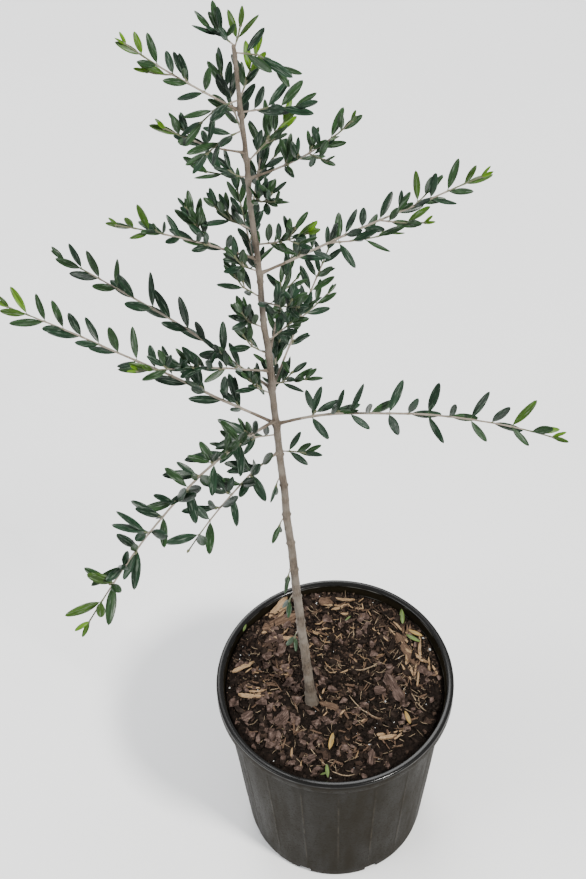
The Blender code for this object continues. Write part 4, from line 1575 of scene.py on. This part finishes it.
def make_camera():
    data = bpy.data.cameras.new("camera")
    data.sensor_fit = "VERTICAL"
    data.sensor_height = SENSOR
    data.sensor_width = SENSOR
    data.lens = SENSOR * FOCAL_PIXELS / PHOTO_HEIGHT
    data.clip_start = 0.05
    data.clip_end = 100.0
    camera = add_object("camera", data)
    camera.location = CAMERA_AT
    camera.rotation_mode = "QUATERNION"
    tip = Quaternion((1.0, 0.0, 0.0), math.radians(90.0 - CAMERA_DOWN))
    roll = Quaternion((0.0, 0.0, 1.0), math.radians(CAMERA_ROLL))
    camera.rotation_quaternion = tip @ roll
    bpy.context.scene.camera = camera


# Each kind's name, colour, roughness, coat, pale scales and painted highlight streaks.
LEAF_FINISHES = {
    "deep": ("leaf_deep_green", (0.0046, 0.0156, 0.0068), 0.36, 0.07, 0.10),
    "blue": ("leaf_blue_green", (0.0080, 0.0240, 0.0112), 0.38, 0.07, 0.12),
    "middle": ("leaf_middle_green", (0.0120, 0.0325, 0.0094), 0.38, 0.07, 0.08),
    "fresh": ("leaf_fresh_green", (0.0225, 0.0560, 0.0032), 0.46, 0.06, 0.05),
    "new": ("leaf_new_green", (0.0530, 0.1220, 0.0012), 0.50, 0.03, 0.03),
    "under": ("leaf_grey_underside", (0.0195, 0.0300, 0.0140), 0.64, 0.0, 0.12, 0.25),
    "under_new": ("leaf_pale_underside", (0.0500, 0.1000, 0.0090), 0.66, 0.0, 0.12, 0.25),
    "ribs": ("leaf_rib_green", (0.0650, 0.0950, 0.0450), 0.50, 0.05, 0.10),
    "stems": ("stem_green", (0.0950, 0.0980, 0.0560), 0.60, 0.0, 0.40),
}


def main():
    make_camera()
    make_light()
    make_floor()

    bark = bark_finish("olive_bark_skin", (0.036, 0.026, 0.018), (0.125, 0.096, 0.070), 2.2)
    twig_bark = bark_finish("twig_bark_skin", (0.090, 0.070, 0.053), (0.250, 0.210, 0.168), 2.2)
    make_wood(bark)
    make_foliage({kind: leaf_finish(*row) for kind, row in LEAF_FINISHES.items()}, twig_bark)

    make_pot(plastic_finish())
    black = (0.0022, 0.0018, 0.0015)
    brown = (0.016, 0.0105, 0.0078)
    rust = (0.056, 0.035, 0.025)
    pink = (0.068, 0.044, 0.035)
    pale_pink = (0.165, 0.116, 0.096)
    make_soil(crumb_finish("bark_mix_dark", (black, brown), 0.95, 210.0))
    chip_finishes = {
        "chips_dark": crumb_finish("chip_dark", (black, brown, (0.030, 0.021, 0.016))),
        "chips_pink": crumb_finish("chip_pink", (brown, pink, pale_pink)),
        "chips_brown": crumb_finish("chip_brown", (brown, rust)),
        "crumbs_black": crumb_finish("crumb_black", (black, (0.022, 0.0155, 0.0115))),
        "crumbs_brown": crumb_finish("crumb_brown", (brown, rust, (0.150, 0.108, 0.074))),
        "perlite": crumb_finish("perlite_white", ((0.45, 0.45, 0.43), (0.70, 0.70, 0.68)), 0.8, 500.0),
    }
    for kind in CHIPS:
        make_chips(kind, chip_finishes[kind.name])
    make_slivers(
        crumb_finish("splinter_tan", ((0.150, 0.090, 0.045), (0.42, 0.285, 0.165)), 0.8, 900.0, True),
        crumb_finish("splinter_brown", ((0.045, 0.027, 0.018), (0.155, 0.098, 0.064)), 0.85, 900.0, True),
        crumb_finish("slab_pink", (brown, pink, pale_pink), 0.85, 600.0, True),
        crumb_finish("fibre_pale", ((0.130, 0.090, 0.058), (0.38, 0.29, 0.19)), 0.8, 400.0),
    )
    make_fallen_leaves({
        "green": leaf_finish("fallen_leaf_green", (0.070, 0.105, 0.025), 0.5, 0.0, 0.1),
        "dry": leaf_finish("fallen_leaf_dry", (0.200, 0.128, 0.040), 0.7, 0.0, 0.1),
    })


main()
boxes = {"cad": CAD_BOX, "visual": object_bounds()}
{name: [list(corner) for corner in box] for name, box in boxes.items()}
